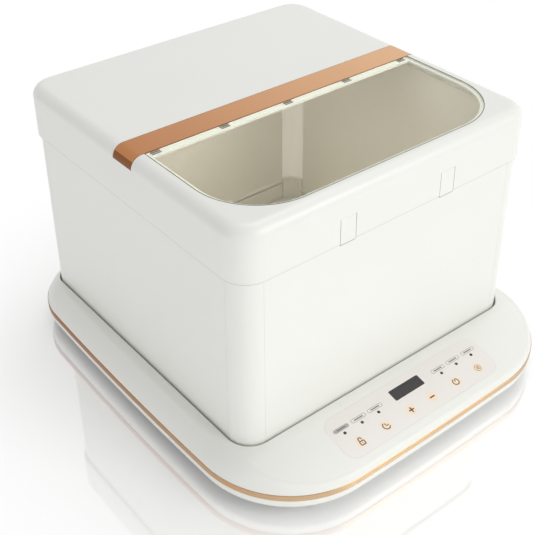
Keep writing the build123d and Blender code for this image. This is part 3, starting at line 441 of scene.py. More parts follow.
def rose_gold(name, reflection_run, left, right, painted_shade_mask):
    """Brushed rose gold with a painted reflection turning from its left to its right tone, and painted shade where
    masked.
    """
    finish, shader = new_finish(name, Metallic=1.0)
    tree, place = finish.node_tree, object_place(finish)
    split = tree.nodes.new("ShaderNodeSeparateXYZ")
    wire(finish, place, split.inputs[0])
    # Painted reflection: the tone changes along this run, standing in for the room mirrored in the metal.
    way = sums(tree, "SUBTRACT", split.outputs["X"], sums(tree, "MULTIPLY", split.outputs["Y"], reflection_run[2]))
    painted_reflection = tree.nodes.new("ShaderNodeMapRange")
    painted_reflection.inputs["From Min"].default_value, painted_reflection.inputs["From Max"].default_value = reflection_run[:2]
    wire(finish, way, painted_reflection.inputs["Value"])
    lines = use_effect(finish, BRUSHED, place, Along=20.0, Across=2600.0, Roughness=0.36, Gloss_Change=0.14)
    share = painted_reflection.outputs["Result"]
    deep_left, deep_right = [[int(v * 0.93) for v in colour] for colour in (left, right)]
    wire(finish, colour_mix(tree, share, tone(*left), tone(*right)), lines.inputs["Light Tone"])
    wire(finish, colour_mix(tree, share, tone(*deep_left), tone(*deep_right)), lines.inputs["Deep Tone"])
    # Painted shade: darker where the mask says.
    dark = painted_shade_mask(tree, split)
    wire(finish, colour_mix(tree, dark, lines.outputs["Tone"], tone(96, 52, 26)), shader.inputs["Base Color"])
    wire(finish, lines.outputs["Roughness"], shader.inputs["Roughness"])
    add_relief(finish, shader, lines.outputs["Lines"], 1.5e-5, 0.3)
    return finish


def strip_painted_shade(tree, split):
    """Painted shade along both long edges of the strip, and a painted dark reflection at its curled left end."""
    off_front = sums(tree, "ABSOLUTE", sums(tree, "SUBTRACT", split.outputs["Y"], STRIP_EDGE), 0.0)
    front = sums(tree, "LESS_THAN", off_front, 0.0006)
    rear = sums(tree, "GREATER_THAN", split.outputs["Y"], STRIP_REAR)
    curled = sums(tree, "LESS_THAN", split.outputs["X"], -0.1775)
    edges = sums(tree, "MAXIMUM", front, rear)
    return sums(tree, "MULTIPLY", sums(tree, "MAXIMUM", edges, curled), 0.7)


def trim_painted_shade(tree, split):
    """Painted shade: the line round the base is a little darker along its upper and lower edge."""
    off_middle = sums(tree, "ABSOLUTE", sums(tree, "SUBTRACT", split.outputs["Z"], TRIM_MIDDLE), 0.0)
    return sums(tree, "MULTIPLY", sums(tree, "GREATER_THAN", off_middle, TRIM_CORE), 0.4)


STRIP_EDGE, STRIP_REAR = 0.0012, 31.4 * MM
TRIM_MIDDLE, TRIM_CORE = 25.7 * MM, 2.8 * MM
# The strip's painted reflection runs along X, browner at its left.
finishes["copper_trim"] = rose_gold("rose_gold", (-0.19, 0.17, 0.0), (184, 124, 80), (222, 178, 136), strip_painted_shade)
# The trim's painted reflection is darker at the left and back, lighter towards the front right.
finishes["trim_gold"] = rose_gold("trim_gold", (-0.35, 0.1, 1.0), (166, 106, 62), (222, 190, 152), trim_painted_shade)
finishes["steel"] = metal("plated_steel", (196, 198, 200), (160, 162, 166), 0.3, 0.2, 300.0, 1500.0)
finishes["aluminium_plate"] = plastic("lacquered_plate", (250, 246, 236), (248, 244, 232), 0.45, drift=5.0)
print("metal finishes: rose_gold, plated_steel, and the plate's beige lacquer")

# %% [markdown]
# ## White outside, beige inside
# The soft corner strips are white outside and beige towards the chamber, like the
# walls with their lining. One finish does both: it measures how far a point lies from
# the middle of its corner's bend, and turns beige on the inner face. That face is also
# painted a little lighter and glows weakly: painted light.

# %% Two-sided corner finish
CORNER = (153.5 * MM, 154.8 * MM)
CHAMBER_MIDDLE = 23.5 * MM
# Strength of the painted light on the strips' inner face.
INNER_PAINTED_LIGHT = 0.12


def two_sided():
    finish, shader = new_finish("soft_corner")
    tree, place = finish.node_tree, object_place(finish)
    outside = use_effect(
        finish, MOULDED, place, Light_Tone=tone(243, 243, 238), Deep_Tone=tone(239, 240, 234),
        Drift_Scale=9.0, Grain_Scale=1400.0, Roughness=0.36, Gloss_Change=0.08,
    )
    shifted = vector_step(tree, "SUBTRACT", place, (0.0, CHAMBER_MIDDLE, 0.0))
    folded = vector_step(tree, "ABSOLUTE", shifted)
    from_bend = vector_step(tree, "SUBTRACT", folded, (CORNER[0], CORNER[1], 0.0))
    flat = vector_step(tree, "MULTIPLY", from_bend, (1.0, 1.0, 0.0))
    distance = tree.nodes.new("ShaderNodeVectorMath")
    distance.operation = "LENGTH"
    wire(finish, flat, distance.inputs[0])
    inner = sums(tree, "LESS_THAN", distance.outputs["Value"], 21.0 * MM)
    # Painted light: the inner face is a little lighter than the lining, and glows.
    colour = colour_mix(tree, inner, outside.outputs["Tone"], tone(252, 249, 240))
    wire(finish, colour, shader.inputs["Base Color"])
    wire(finish, colour, shader.inputs["Emission Color"])
    wire(finish, sums(tree, "MULTIPLY", inner, INNER_PAINTED_LIGHT), shader.inputs["Emission Strength"])
    wire(finish, outside.outputs["Roughness"], shader.inputs["Roughness"])
    add_relief(finish, shader, outside.outputs["Grain"], 4e-5, 0.35)
    return finish


def vector_step(tree, operation, first, second=None):
    """One step of vector arithmetic; the second side is three numbers."""
    node = tree.nodes.new("ShaderNodeVectorMath")
    node.operation = operation
    tree.links.new(first, node.inputs[0])
    if second is not None:
        node.inputs[1].default_value = second
    return node.outputs[0]


def wall_plastic():
    """White outside and beige on the faces that look into the chamber."""
    finish, shader = new_finish("wall_white", IOR=1.5)
    tree, place = finish.node_tree, object_place(finish)
    skin = use_effect(
        finish, MOULDED, place, Light_Tone=tone(243, 243, 238), Deep_Tone=tone(239, 240, 234),
        Drift_Scale=9.0, Grain_Scale=900.0, Roughness=0.34, Gloss_Change=0.08,
    )
    folded = vector_step(tree, "ABSOLUTE", vector_step(tree, "SUBTRACT", place, (0.0, CHAMBER_MIDDLE, 0.0)))
    split = tree.nodes.new("ShaderNodeSeparateXYZ")
    wire(finish, folded, split.inputs[0])
    outwards = sums(tree, "MAXIMUM", split.outputs["X"], split.outputs["Y"])
    inner = sums(tree, "LESS_THAN", outwards, WALL_INSIDE)
    wire(finish, colour_mix(tree, inner, skin.outputs["Tone"], tone(251, 247, 237)), shader.inputs["Base Color"])
    wire(finish, skin.outputs["Roughness"], shader.inputs["Roughness"])
    add_relief(finish, shader, skin.outputs["Grain"], 4e-5, 0.35)
    return finish


WALL_INSIDE = 173.5 * MM
finishes["soft_white"] = two_sided()
finishes["wall_plastic"] = wall_plastic()
print("corner strips turn beige 21 mm from the middle of their bend")

# %% [markdown]
# ## The clear window
# The pane is clear moulded plastic that you look through into the chamber. Real
# light passes it freely, but a path tracer lets little light through solid glass,
# so the pane turns transparent for shadow rays and the chamber stays bright.

# %% Clear pane
def clear_pane():
    finish, shader = new_finish(
        "clear_pane", Base_Color=tone(252, 252, 250), Transmission_Weight=1.0, IOR=1.12, Metallic=0.0,
    )
    tree = finish.node_tree
    skin = use_effect(
        finish, MOULDED, object_place(finish), Light_Tone=tone(253, 253, 251), Deep_Tone=tone(250, 250, 247),
        Drift_Scale=5.0, Grain_Scale=300.0, Roughness=0.02, Gloss_Change=0.02,
    )
    wire(finish, skin.outputs["Tone"], shader.inputs["Base Color"])
    wire(finish, skin.outputs["Roughness"], shader.inputs["Roughness"])
    passing = tree.nodes.new("ShaderNodeBsdfTransparent")
    passing.inputs["Color"].default_value = tone(252, 252, 249)
    rays = tree.nodes.new("ShaderNodeLightPath")
    facing = tree.nodes.new("ShaderNodeNewGeometry")
    split = tree.nodes.new("ShaderNodeSeparateXYZ")
    wire(finish, facing.outputs["True Normal"], split.inputs[0])
    upright = sums(tree, "LESS_THAN", sums(tree, "ABSOLUTE", split.outputs["Z"], 0.0), 0.5)
    mix = tree.nodes.new("ShaderNodeMixShader")
    wire(finish, sums(tree, "MAXIMUM", rays.outputs["Is Shadow Ray"], upright), mix.inputs[0])
    wire(finish, shader.outputs[0], mix.inputs[1])
    wire(finish, passing.outputs[0], mix.inputs[2])
    wire(finish, mix.outputs[0], tree.nodes["Material Output"].inputs["Surface"])
    return finish


finishes["clear_plastic"] = clear_pane()
print("the pane lets shadow rays pass")

# %% [markdown]
# ## Finishes of the hidden parts
# The film heater has printed silver tracks on amber film, the insulation is a pale
# felt, the circuit board is green with copper tracks, and the pads behind the keys
# are black conductive foam. They are seen only when the cover is off, but each one
# has its own surface. Bands of a fixed pitch make tracks and fibres.

# %% Heater film, felt, circuit board and foam
def banded(name, ground, line, pitch, width, wobble, roughness, depth, lift_metal=0.0):
    finish, shader = new_finish(name)
    place = object_place(finish)
    bands = use_effect(finish, BANDS, place, Pitch=pitch, Width=width, Wobble=wobble)
    skin = use_effect(
        finish, MOULDED, place, Light_Tone=tone(*ground), Deep_Tone=tone(*[int(v * 0.9) for v in ground]),
        Drift_Scale=20.0, Grain_Scale=1500.0, Roughness=roughness, Gloss_Change=0.1,
    )
    tree = finish.node_tree
    mask = sums(tree, "MULTIPLY", bands.outputs["Bands"], bands.outputs["Cross Bands"])
    wire(finish, colour_mix(tree, mask, skin.outputs["Tone"], tone(*line)), shader.inputs["Base Color"])
    wire(finish, skin.outputs["Roughness"], shader.inputs["Roughness"])
    wire(finish, sums(tree, "MULTIPLY", mask, lift_metal), shader.inputs["Metallic"])
    add_relief(finish, shader, sums(tree, "ADD", mask, skin.outputs["Grain"]), depth, 0.4)
    return finish


finishes["heater_film"] = banded("heater_film", (188, 122, 48), (206, 206, 204), 0.006, 0.55, 0.1, 0.35, 5e-5, 0.8)
finishes["insulation"] = banded("felt_pad", (226, 223, 214), (206, 202, 190), 0.0012, 0.5, 2.5, 0.9, 2e-4)
finishes["circuit_board"] = banded("green_board", (28, 92, 58), (54, 124, 78), 0.0025, 0.3, 0.3, 0.35, 4e-5, 0.2)
finishes["conductive_foam"] = banded("black_foam", (40, 40, 42), (58, 58, 60), 0.0008, 0.5, 2.0, 0.9, 1e-4)
print("banded finishes:", ", ".join(("heater_film", "felt_pad", "green_board", "black_foam")))

# %% [markdown]
# ## The panel's place
# The control panel lies on a facet of the base that slopes 12 degrees towards the
# user. All of its prints are drawn flat, in millimetres across and up from the
# panel's middle top edge, and `PANEL` takes them onto the slope.

# %% Places on the panel
PANEL_SLOPE = math.radians(12.0)
PANEL_TOP_EDGE = 6.8
KEY_ROW, KEY_X = 36.5, (14.3, 48.0, 80.5)
LABEL_ROW, LAMP_X = 15.0, (43.5, 65.0, 87.0)

PANEL = (
    Matrix.Translation((0.0, -163.5 * MM, 50.0 * MM))
    @ Matrix.Rotation(PANEL_SLOPE, 4, "X")
    @ Matrix.Translation((0.0, -PANEL_TOP_EDGE * MM, 0.0))
)


def on_panel(x, row, lift=0.0):
    """A point of the panel: x and row in millimetres, row counted down from its top edge."""
    return PANEL @ Vector((x * MM, -row * MM, lift * MM))


KEYS = [on_panel(x, KEY_ROW) for x in (-KEY_X[2], -KEY_X[1], -KEY_X[0], KEY_X[0], KEY_X[1], KEY_X[2])]
print("keys at", [tuple(round(v, 4) for v in key) for key in KEYS])

# %% [markdown]
# ## The panel's film
# The film is a thin printed sheet, a little pinker than the shell. Each touch key is
# lit from behind, so a warm ring of light shows round its symbol. The glow belongs
# to the film's own surface: a soft spot about each key's centre, added up and mixed
# into the film's colour, with a little light of its own.

# %% Film with glowing keys
def key_film():
    finish, shader = new_finish("key_film", IOR=1.46)
    tree, place = finish.node_tree, object_place(finish)
    skin = use_effect(
        finish, MOULDED, place, Light_Tone=tone(242, 237, 233), Deep_Tone=tone(239, 234, 229),
        Drift_Scale=12.0, Grain_Scale=2500.0, Roughness=0.3, Gloss_Change=0.05,
    )
    glow, core = 0.0, 0.0
    for key in KEYS:
        wide = use_effect(finish, SPOT, place, Centre=key, Inner_Radius=2.2 * MM, Outer_Radius=7.6 * MM)
        near = use_effect(finish, SPOT, place, Centre=key, Inner_Radius=0.5 * MM, Outer_Radius=4.0 * MM)
        glow = sums(tree, "ADD", glow, wide.outputs["Mask"])
        core = sums(tree, "ADD", core, near.outputs["Mask"])
    ring = sums(tree, "SUBTRACT", glow, sums(tree, "MULTIPLY", core, 0.45), True)
    tinted = colour_mix(tree, sums(tree, "MULTIPLY", ring, 0.8), skin.outputs["Tone"], tone(253, 222, 176))
    wire(finish, tinted, shader.inputs["Base Color"])
    wire(finish, skin.outputs["Roughness"], shader.inputs["Roughness"])
    light = colour_mix(tree, ring, (0.0, 0.0, 0.0, 1.0), tone(52, 38, 18))
    wire(finish, light, shader.inputs["Emission Color"])
    shader.inputs["Emission Strength"].default_value = 1.0
    add_relief(finish, shader, skin.outputs["Grain"], 2e-5, 0.3)
    return finish


finishes["panel_film"] = key_film()
print(len(KEYS), "keys glow")

# %% [markdown]
# ## Every solid gets its finish
# The record names a finish for each solid. The solids' meshes stay as they are, and
# only the material in their slots is exchanged. The hinge blocks show only inside the
# chamber, so they take the beige of the lining.

# %% Dress the solids
slot_of = {part["node"]: part["material_slot"] for part in frame["record"]["subparts"]}
OWN_FINISH = {
    "hinge_block": "lining",
    "hinge_sills": "lining",
    "lid_cover": "lid_plastic",
    "latch_tab": "tab_plastic",
    "window_clips": "clip_plastic",
    "base_bottom_cover": "underside",
    "base_trim_ring": "trim_gold",
    "front_wall": "wall_plastic",
    "back_wall": "wall_plastic",
    "left_wall": "wall_plastic",
    "right_wall": "wall_plastic",
}

for node_name, solid in nodes.items():
    finish = finishes[slot_of[node_name]]
    for start, own in OWN_FINISH.items():
        if node_name.startswith(start) and not node_name.endswith("lining"):
            finish = finishes[own]
    solid.data.materials.clear()
    solid.data.materials.append(finish)
print("finishes in use:", len(set(slot_of.values())))

# %% [markdown]
# ## The soft corners
# The walls are rigid, so something soft closes the chamber's corners and crumples
# when the walls fold: on the real proofer a strip of thin rubbery plastic. Each strip
# is a quarter of a round tube, which is a rule, so Geometry Nodes make it from a flat
# grid: its width becomes an angle, then the surface gets a thickness.

# %% Helpers for geometry trees
def shape_tree(name, numbers):
    """A geometry tree with named number inputs, its input sockets and its output node."""
    tree = bpy.data.node_groups.new(name, "GeometryNodeTree")
    tree.interface.new_socket("Geometry", in_out="INPUT", socket_type="NodeSocketGeometry")
    for label, value in numbers.items():
        kind = "NodeSocketInt" if isinstance(value, int) else "NodeSocketFloat"
        tree.interface.new_socket(label, in_out="INPUT", socket_type=kind).default_value = value
    tree.interface.new_socket("Finish", in_out="INPUT", socket_type="NodeSocketMaterial")
    tree.interface.new_socket("Geometry", in_out="OUTPUT", socket_type="NodeSocketGeometry")
    return tree, tree.nodes.new("NodeGroupInput").outputs, tree.nodes.new("NodeGroupOutput")


def end_tree(tree, given, end, shape):
    """Realize Instances and Set Material close every tree."""
    real = tree.nodes.new("GeometryNodeRealizeInstances")
    dress = tree.nodes.new("GeometryNodeSetMaterial")
    tree.links.new(shape, real.inputs[0])
    tree.links.new(real.outputs[0], dress.inputs["Geometry"])
    tree.links.new(given["Finish"], dress.inputs["Material"])
    tree.links.new(dress.outputs[0], end.inputs[0])


def grow(name, start, tree, finish, **values):
    """Runs a tree on the start mesh and keeps the result as a plain mesh object."""
    helper = bpy.data.objects.new(name + "_start", start)
    bpy.context.scene.collection.objects.link(helper)
    modifier = helper.modifiers.new(name, "NODES")
    modifier.node_group = tree
    for item in tree.interface.items_tree:
        label = item.name.replace(" ", "_")
        if item.in_out == "INPUT" and label in values:
            modifier[item.identifier] = values[label]
        if item.in_out == "INPUT" and item.name == "Finish":
            modifier[item.identifier] = finish
    graph = bpy.context.evaluated_depsgraph_get()
    mesh = bpy.data.meshes.new_from_object(helper.evaluated_get(graph))
    bpy.data.objects.remove(helper)
    return add_piece(name, mesh)


def add_piece(name, mesh, finish=None):
    """A finished mesh as an object at the origin."""
    mesh.name = name
    if finish is not None:
        mesh.materials.append(finish)
    piece = bpy.data.objects.new(name, mesh)
    bpy.context.scene.collection.objects.link(piece)
    return piece


def math_node(tree, operation, first, second=None):
    """Arithmetic inside a geometry tree."""
    node = tree.nodes.new("ShaderNodeMath")
    node.operation = operation
    for socket, value in zip(node.inputs, (first, second)):
        if isinstance(value, (int, float)):
            socket.default_value = value
        elif value is not None:
            tree.links.new(value, socket)
    return node.outputs[0]


def quarter_tube():
    tree, given, end = shape_tree(
        "quarter_tube",
        {"Radius": 0.0235, "Thickness": 0.005, "Low": 0.0484, "High": 0.276,
         "Start Angle": 0.0, "Seam Turn": 0.0115, "Steps": 24},
    )
    grid = tree.nodes.new("GeometryNodeMeshGrid")
    grid.inputs["Size X"].default_value = 1.0
    grid.inputs["Size Y"].default_value = 1.0
    tree.links.new(math_node(tree, "ADD", given["Steps"], 1.0), grid.inputs["Vertices X"])
    grid.inputs["Vertices Y"].default_value = 24
    where = tree.nodes.new("GeometryNodeInputPosition")
    split = tree.nodes.new("ShaderNodeSeparateXYZ")
    tree.links.new(where.outputs[0], split.inputs[0])
    across = math_node(tree, "ADD", split.outputs["X"], 0.5)
    up = math_node(tree, "ADD", split.outputs["Y"], 0.5)
    sweep = math_node(tree, "ADD", math_node(tree, "MULTIPLY", given["Seam Turn"], 2.0), math.pi / 2)
    turned = math_node(tree, "SUBTRACT", math_node(tree, "MULTIPLY", across, sweep), given["Seam Turn"])
    angle = math_node(tree, "ADD", turned, given["Start Angle"])
    rise = math_node(tree, "MULTIPLY", up, math_node(tree, "SUBTRACT", given["High"], given["Low"]))
    height = math_node(tree, "ADD", rise, given["Low"])

    def sheet_at(radius):
        spot = tree.nodes.new("ShaderNodeCombineXYZ")
        tree.links.new(math_node(tree, "MULTIPLY", math_node(tree, "COSINE", angle), radius), spot.inputs[0])
        tree.links.new(math_node(tree, "MULTIPLY", math_node(tree, "SINE", angle), radius), spot.inputs[1])
        tree.links.new(height, spot.inputs[2])
        bend = tree.nodes.new("GeometryNodeSetPosition")
        tree.links.new(grid.outputs["Mesh"], bend.inputs["Geometry"])
        tree.links.new(spot.outputs[0], bend.inputs["Position"])
        return bend.outputs[0]

    inner_radius = math_node(tree, "SUBTRACT", given["Radius"], given["Thickness"])
    inside = sheet_at(inner_radius)
    keep = tree.nodes.new("GeometryNodeCaptureAttribute")
    keep.capture_items.new("VECTOR", "Outward")
    tree.links.new(inside, keep.inputs["Geometry"])
    direction = tree.nodes.new("ShaderNodeVectorMath")
    direction.operation = "MULTIPLY"
    direction.inputs[1].default_value = (1.0, 1.0, 0.0)
    tree.links.new(where.outputs[0], direction.inputs[0])
    unit = tree.nodes.new("ShaderNodeVectorMath")
    unit.operation = "NORMALIZE"
    tree.links.new(direction.outputs[0], unit.inputs[0])
    tree.links.new(unit.outputs[0], keep.inputs[1])
    push = tree.nodes.new("GeometryNodeExtrudeMesh")
    push.inputs["Individual"].default_value = False
    tree.links.new(keep.outputs["Geometry"], push.inputs["Mesh"])
    tree.links.new(keep.outputs[1], push.inputs["Offset"])
    tree.links.new(given["Thickness"], push.inputs["Offset Scale"])
    turn = tree.nodes.new("GeometryNodeFlipFaces")
    tree.links.new(inside, turn.inputs["Mesh"])
    both = tree.nodes.new("GeometryNodeJoinGeometry")
    tree.links.new(push.outputs["Mesh"], both.inputs[0])
    tree.links.new(turn.outputs[0], both.inputs[0])
    weld = tree.nodes.new("GeometryNodeMergeByDistance")
    weld.inputs["Distance"].default_value = 1e-6
    tree.links.new(both.outputs[0], weld.inputs["Geometry"])
    end_tree(tree, given, end, weld.outputs[0])
    return tree


def outward_faces(mesh):
    """Joins double points and turns all faces outwards."""
    work = bmesh.new()
    work.from_mesh(mesh)
    bmesh.ops.remove_doubles(work, verts=work.verts, dist=1e-7)
    bmesh.ops.recalc_face_normals(work, faces=work.faces)
    volume = work.calc_volume(signed=True)
    if volume < 0:
        bmesh.ops.reverse_faces(work, faces=work.faces)
    work.to_mesh(mesh)
    work.free()
    return abs(volume)


# %% Four corner strips
tube_tree = quarter_tube()
for side_x, side_y, corner, start in (
    (1, 1, "back_right", 0.0), (-1, 1, "back_left", 90.0), (-1, -1, "front_left", 180.0), (1, -1, "front_right", 270.0),
):
    strip = grow("soft_corner_" + corner, bpy.data.meshes.new("start"), tube_tree, finishes["soft_white"],
                 Start_Angle=math.radians(start), Radius=23.5 * MM, Steps=24)
    strip.data.transform(Matrix.Translation((side_x * CORNER[0], CHAMBER_MIDDLE + side_y * CORNER[1], 0.0)))
    volume = outward_faces(strip.data)
    strip.data.shade_smooth()
    strip.data.set_sharp_from_angle(angle=math.radians(35))
    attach(strip, "base")
    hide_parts("corner_strip_" + corner)
    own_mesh(strip)
    print(strip.name, "volume", round(volume * 1e9), "mm3")

# %% [markdown]
# ## The window's seal
# A thin dark seal closes the seam between the window and the lid. It follows the
# window's edge down the left side, round the two large corners and up the right side,
# which is a path, so a curve is swept with a small square bead in Geometry Nodes.

# %% Seal round the window
WINDOW_HALF, WINDOW_NEAR, WINDOW_FAR = 164.6, 167.0, 22.3
WINDOW_ROUND, LID_TOP = 66.5, 288.0


def arc(radius, start, stop, steps=28, centre=(0.0, 0.0)):
    """Points on an arc, angles in degrees."""
    turns = [math.radians(start + (stop - start) * n / steps) for n in range(steps + 1)]
    return [(centre[0] + radius * math.cos(t), centre[1] + radius * math.sin(t)) for t in turns]


def window_path():
    """Points along the window's edge from its back left to its back right corner, in metres."""
    inset = WINDOW_ROUND
    left = arc(WINDOW_ROUND, 180, 270, 24, (-WINDOW_HALF + inset, -WINDOW_NEAR + inset))
    right = arc(WINDOW_ROUND, 270, 360, 24, (WINDOW_HALF - inset, -WINDOW_NEAR + inset))
    edge = [(-WINDOW_HALF, -WINDOW_FAR)] + left + right + [(WINDOW_HALF, -WINDOW_FAR)]
    return [(x * MM, y * MM + CHAMBER_MIDDLE, LID_TOP * MM) for x, y in edge]


def bead_tree():
    tree, given, end = shape_tree("window_seal", {"Width": 0.0007, "Height": 0.0003})
    path = tree.nodes.new("GeometryNodeMeshToCurve")
    tree.links.new(given["Geometry"], path.inputs[0])
    bead = tree.nodes.new("GeometryNodeCurvePrimitiveQuadrilateral")
    tree.links.new(given["Width"], bead.inputs["Width"])
    tree.links.new(given["Height"], bead.inputs["Height"])
    sweep = tree.nodes.new("GeometryNodeCurveToMesh")
    sweep.inputs["Fill Caps"].default_value = True
    tree.links.new(path.outputs[0], sweep.inputs["Curve"])
    tree.links.new(bead.outputs[0], sweep.inputs["Profile Curve"])
    end_tree(tree, given, end, sweep.outputs[0])
    return tree


seal_line = bpy.data.meshes.new("seal_line")
seal_points = window_path()
seal_line.from_pydata(seal_points, [(n, n + 1) for n in range(len(seal_points) - 1)], [])
finishes["seal"] = plastic("seal_grey", (104, 100, 94), (88, 84, 78), 0.5, drift=60.0, grain=2000.0)
seal = grow("window_seal", seal_line, bead_tree(), finishes["seal"])
outward_faces(seal.data)
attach(seal, "lid")
print("seal", len(seal.data.polygons), "faces")

# %% [markdown]
# ## Symbols on the keys
# The keys are printed symbols: an open padlock, a clock, plus, minus, power and a
# menu. A print is a thin flat film, so each symbol is drawn as broad lines on the
# panel and given a thickness of a few hundredths of a millimetre.

# %% Drawing helpers for prints
def round_box(width, height, radius, steps=6, centre=(0.0, 0.0)):
    """Points round a box with round corners."""
    points = []
    for sx, sy, start in ((1, 1, 0), (-1, 1, 90), (-1, -1, 180), (1, -1, 270)):
        middle = (centre[0] + sx * (width / 2 - radius), centre[1] + sy * (height / 2 - radius))
        points += arc(radius, start, start + 90, steps, middle)
    return points


def broad_line(points, width, closed=False):
    """The four-sided faces of a flat line of that width through the points."""
    if closed:
        points = points[:-1] if points[0] == points[-1] else points
    count = len(points)
    left, right = [], []
    for n, point in enumerate(points):
        before = points[(n - 1) % count] if closed or n > 0 else point
        after = points[(n + 1) % count] if closed or n < count - 1 else point
        along = Vector((after[0] - before[0], after[1] - before[1])).normalized()
        side = Vector((-along.y, along.x)) * width / 2
        left.append((point[0] + side.x, point[1] + side.y))
        right.append((point[0] - side.x, point[1] - side.y))
    last = count if closed else count - 1
    return [[right[n], right[(n + 1) % count], left[(n + 1) % count], left[n]] for n in range(last)]


PRINT_BOTTOM, PRINT_TOP = 0.01, 0.06


def print_piece(name, faces, x, row, finish):
    """A thin printed piece on the panel, its faces given in millimetres about its middle."""
    work = bmesh.new()
    for face in faces:
        corners = [work.verts.new(on_panel(x + u, row - v, PRINT_TOP)) for u, v in face]
        work.faces.new(corners)
    bmesh.ops.remove_doubles(work, verts=work.verts, dist=1e-6)
    lower = bmesh.ops.extrude_face_region(work, geom=list(work.faces))
    moved = [item for item in lower["geom"] if isinstance(item, bmesh.types.BMVert)]
    drop = PANEL.to_3x3() @ Vector((0.0, 0.0, (PRINT_BOTTOM - PRINT_TOP) * MM))
    bmesh.ops.translate(work, verts=moved, vec=drop)
    bmesh.ops.recalc_face_normals(work, faces=work.faces)
    mesh = bpy.data.meshes.new(name)
    work.to_mesh(mesh)
    work.free()
    piece = add_piece(name, mesh, finish)
    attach(piece, "base")
    return piece


finishes["symbol_ink"] = plastic("symbol_ink", (98, 72, 58), (86, 62, 50), 0.35, drift=400.0, grain=3000.0, depth=1e-5)
finishes["dark_ink"] = plastic("dark_ink", (48, 32, 30), (40, 26, 25), 0.35, drift=400.0, grain=3000.0, depth=1e-5)
finishes["grey_ink"] = plastic("grey_ink", (122, 120, 118), (106, 104, 102), 0.4, drift=300.0, grain=3000.0, depth=1e-5)
finishes["pale_ink"] = plastic("pale_ink", (186, 184, 181), (172, 170, 167), 0.4, drift=300.0, grain=3000.0, depth=1e-5)
print("inks: symbol, dark, grey and pale")

# %% The six symbols
LINE = 1.05
symbols = {
    "symbol_lock": (-KEY_X[2], "symbol_ink",
                    broad_line(round_box(5.2, 4.1, 0.8, centre=(0.6, -1.6)), LINE, True)
                    + broad_line([(-1.25, 0.4)] + arc(1.65, 180, 0, 14, (0.4, 2.8)) + [(2.05, 2.0)], LINE)
                    + broad_line([(0.6, -1.3), (0.6, -1.9)], LINE)),
    "symbol_clock": (-KEY_X[1], "symbol_ink",
                     broad_line(arc(3.7, 110, 334), LINE) + broad_line([(-0.1, 3.0), (0.0, 0.0), (3.0, 0.0)], LINE)),
    "symbol_plus": (-KEY_X[0], "dark_ink",
                    broad_line([(-3.1, 0), (3.1, 0)], 1.4) + broad_line([(0, 0.7), (0, 3.1)], 1.4)
                    + broad_line([(0, -3.1), (0, -0.7)], 1.4)),
    "symbol_minus": (KEY_X[0], "dark_ink", broad_line([(-3.1, 0), (3.1, 0)], 1.4)),
    "symbol_power": (KEY_X[1], "symbol_ink",
                     broad_line(arc(3.4, 108, 432), LINE) + broad_line([(0, 0.3), (0, 2.9)], LINE)),
    "symbol_menu": (KEY_X[2], "symbol_ink",
                    broad_line(arc(3.5, 0, 350, 35), 0.45, True)
                    + [face for level in (-1.3, 0, 1.3) for face in broad_line([(-1.7, level), (1.7, level)], 0.6)]),
}
for name, (x, ink, faces) in symbols.items():
    print_piece(name, faces, x, KEY_ROW, finishes[ink])
print_piece("label_fill", [round_box(17.4, 3.2, 1.59, 6)], -LAMP_X[2], LABEL_ROW, finishes["pale_ink"])
print(len(symbols), "symbols and one filled label")

# %% [markdown]
# ## Label outlines over the lamps
# Over each of the six lamps stands an empty printed label: a long capsule drawn with
# a thin line and a grey bar in it. The six are alike, so one tree draws a capsule from
# its width, height and line, and copies it to the six places on the panel.

# %% Label tree
def label_tree():
    tree, given, end = shape_tree(
        "label_outlines",
        {"Width": 0.018, "Height": 0.0038, "Line": 0.0003, "Thickness": 0.00005, "Slope": PANEL_SLOPE},
    )
    box = tree.nodes.new("GeometryNodeCurvePrimitiveQuadrilateral")
    tree.links.new(given["Width"], box.inputs["Width"])
    tree.links.new(given["Height"], box.inputs["Height"])
    rounding = tree.nodes.new("GeometryNodeFilletCurve")
    for socket in rounding.inputs:
        if socket.name == "Count":
            socket.default_value = 6
    if "Mode" in rounding.inputs:
        rounding.inputs["Mode"].default_value = "Poly"
    else:
        rounding.mode = "POLY"
    tree.links.new(box.outputs[0], rounding.inputs["Curve"])
    radius = math_node(tree, "MULTIPLY", given["Height"], 0.499)
    tree.links.new(radius, next(s for s in rounding.inputs if s.name == "Radius"))
    edge = tree.nodes.new("GeometryNodeCurvePrimitiveQuadrilateral")
    tree.links.new(given["Line"], edge.inputs["Width"])
    tree.links.new(given["Thickness"], edge.inputs["Height"])
    sweep = tree.nodes.new("GeometryNodeCurveToMesh")
    tree.links.new(rounding.outputs[0], sweep.inputs["Curve"])
    tree.links.new(edge.outputs[0], sweep.inputs["Profile Curve"])
    bar = tree.nodes.new("GeometryNodeMeshCube")
    size = tree.nodes.new("ShaderNodeCombineXYZ")
    tree.links.new(math_node(tree, "MULTIPLY", given["Width"], 0.6), size.inputs[0])
    tree.links.new(math_node(tree, "MULTIPLY", given["Height"], 0.3), size.inputs[1])
    tree.links.new(given["Thickness"], size.inputs[2])
    tree.links.new(size.outputs[0], bar.inputs["Size"])
    both = tree.nodes.new("GeometryNodeJoinGeometry")
    tree.links.new(sweep.outputs[0], both.inputs[0])
    tree.links.new(bar.outputs[0], both.inputs[0])
    tilt = tree.nodes.new("ShaderNodeCombineXYZ")
    tree.links.new(given["Slope"], tilt.inputs[0])
    copies = tree.nodes.new("GeometryNodeInstanceOnPoints")
    tree.links.new(given["Geometry"], copies.inputs["Points"])
    tree.links.new(both.outputs[0], copies.inputs["Instance"])
    tree.links.new(tilt.outputs[0], copies.inputs["Rotation"])
    end_tree(tree, given, end, copies.outputs[0])
    return tree


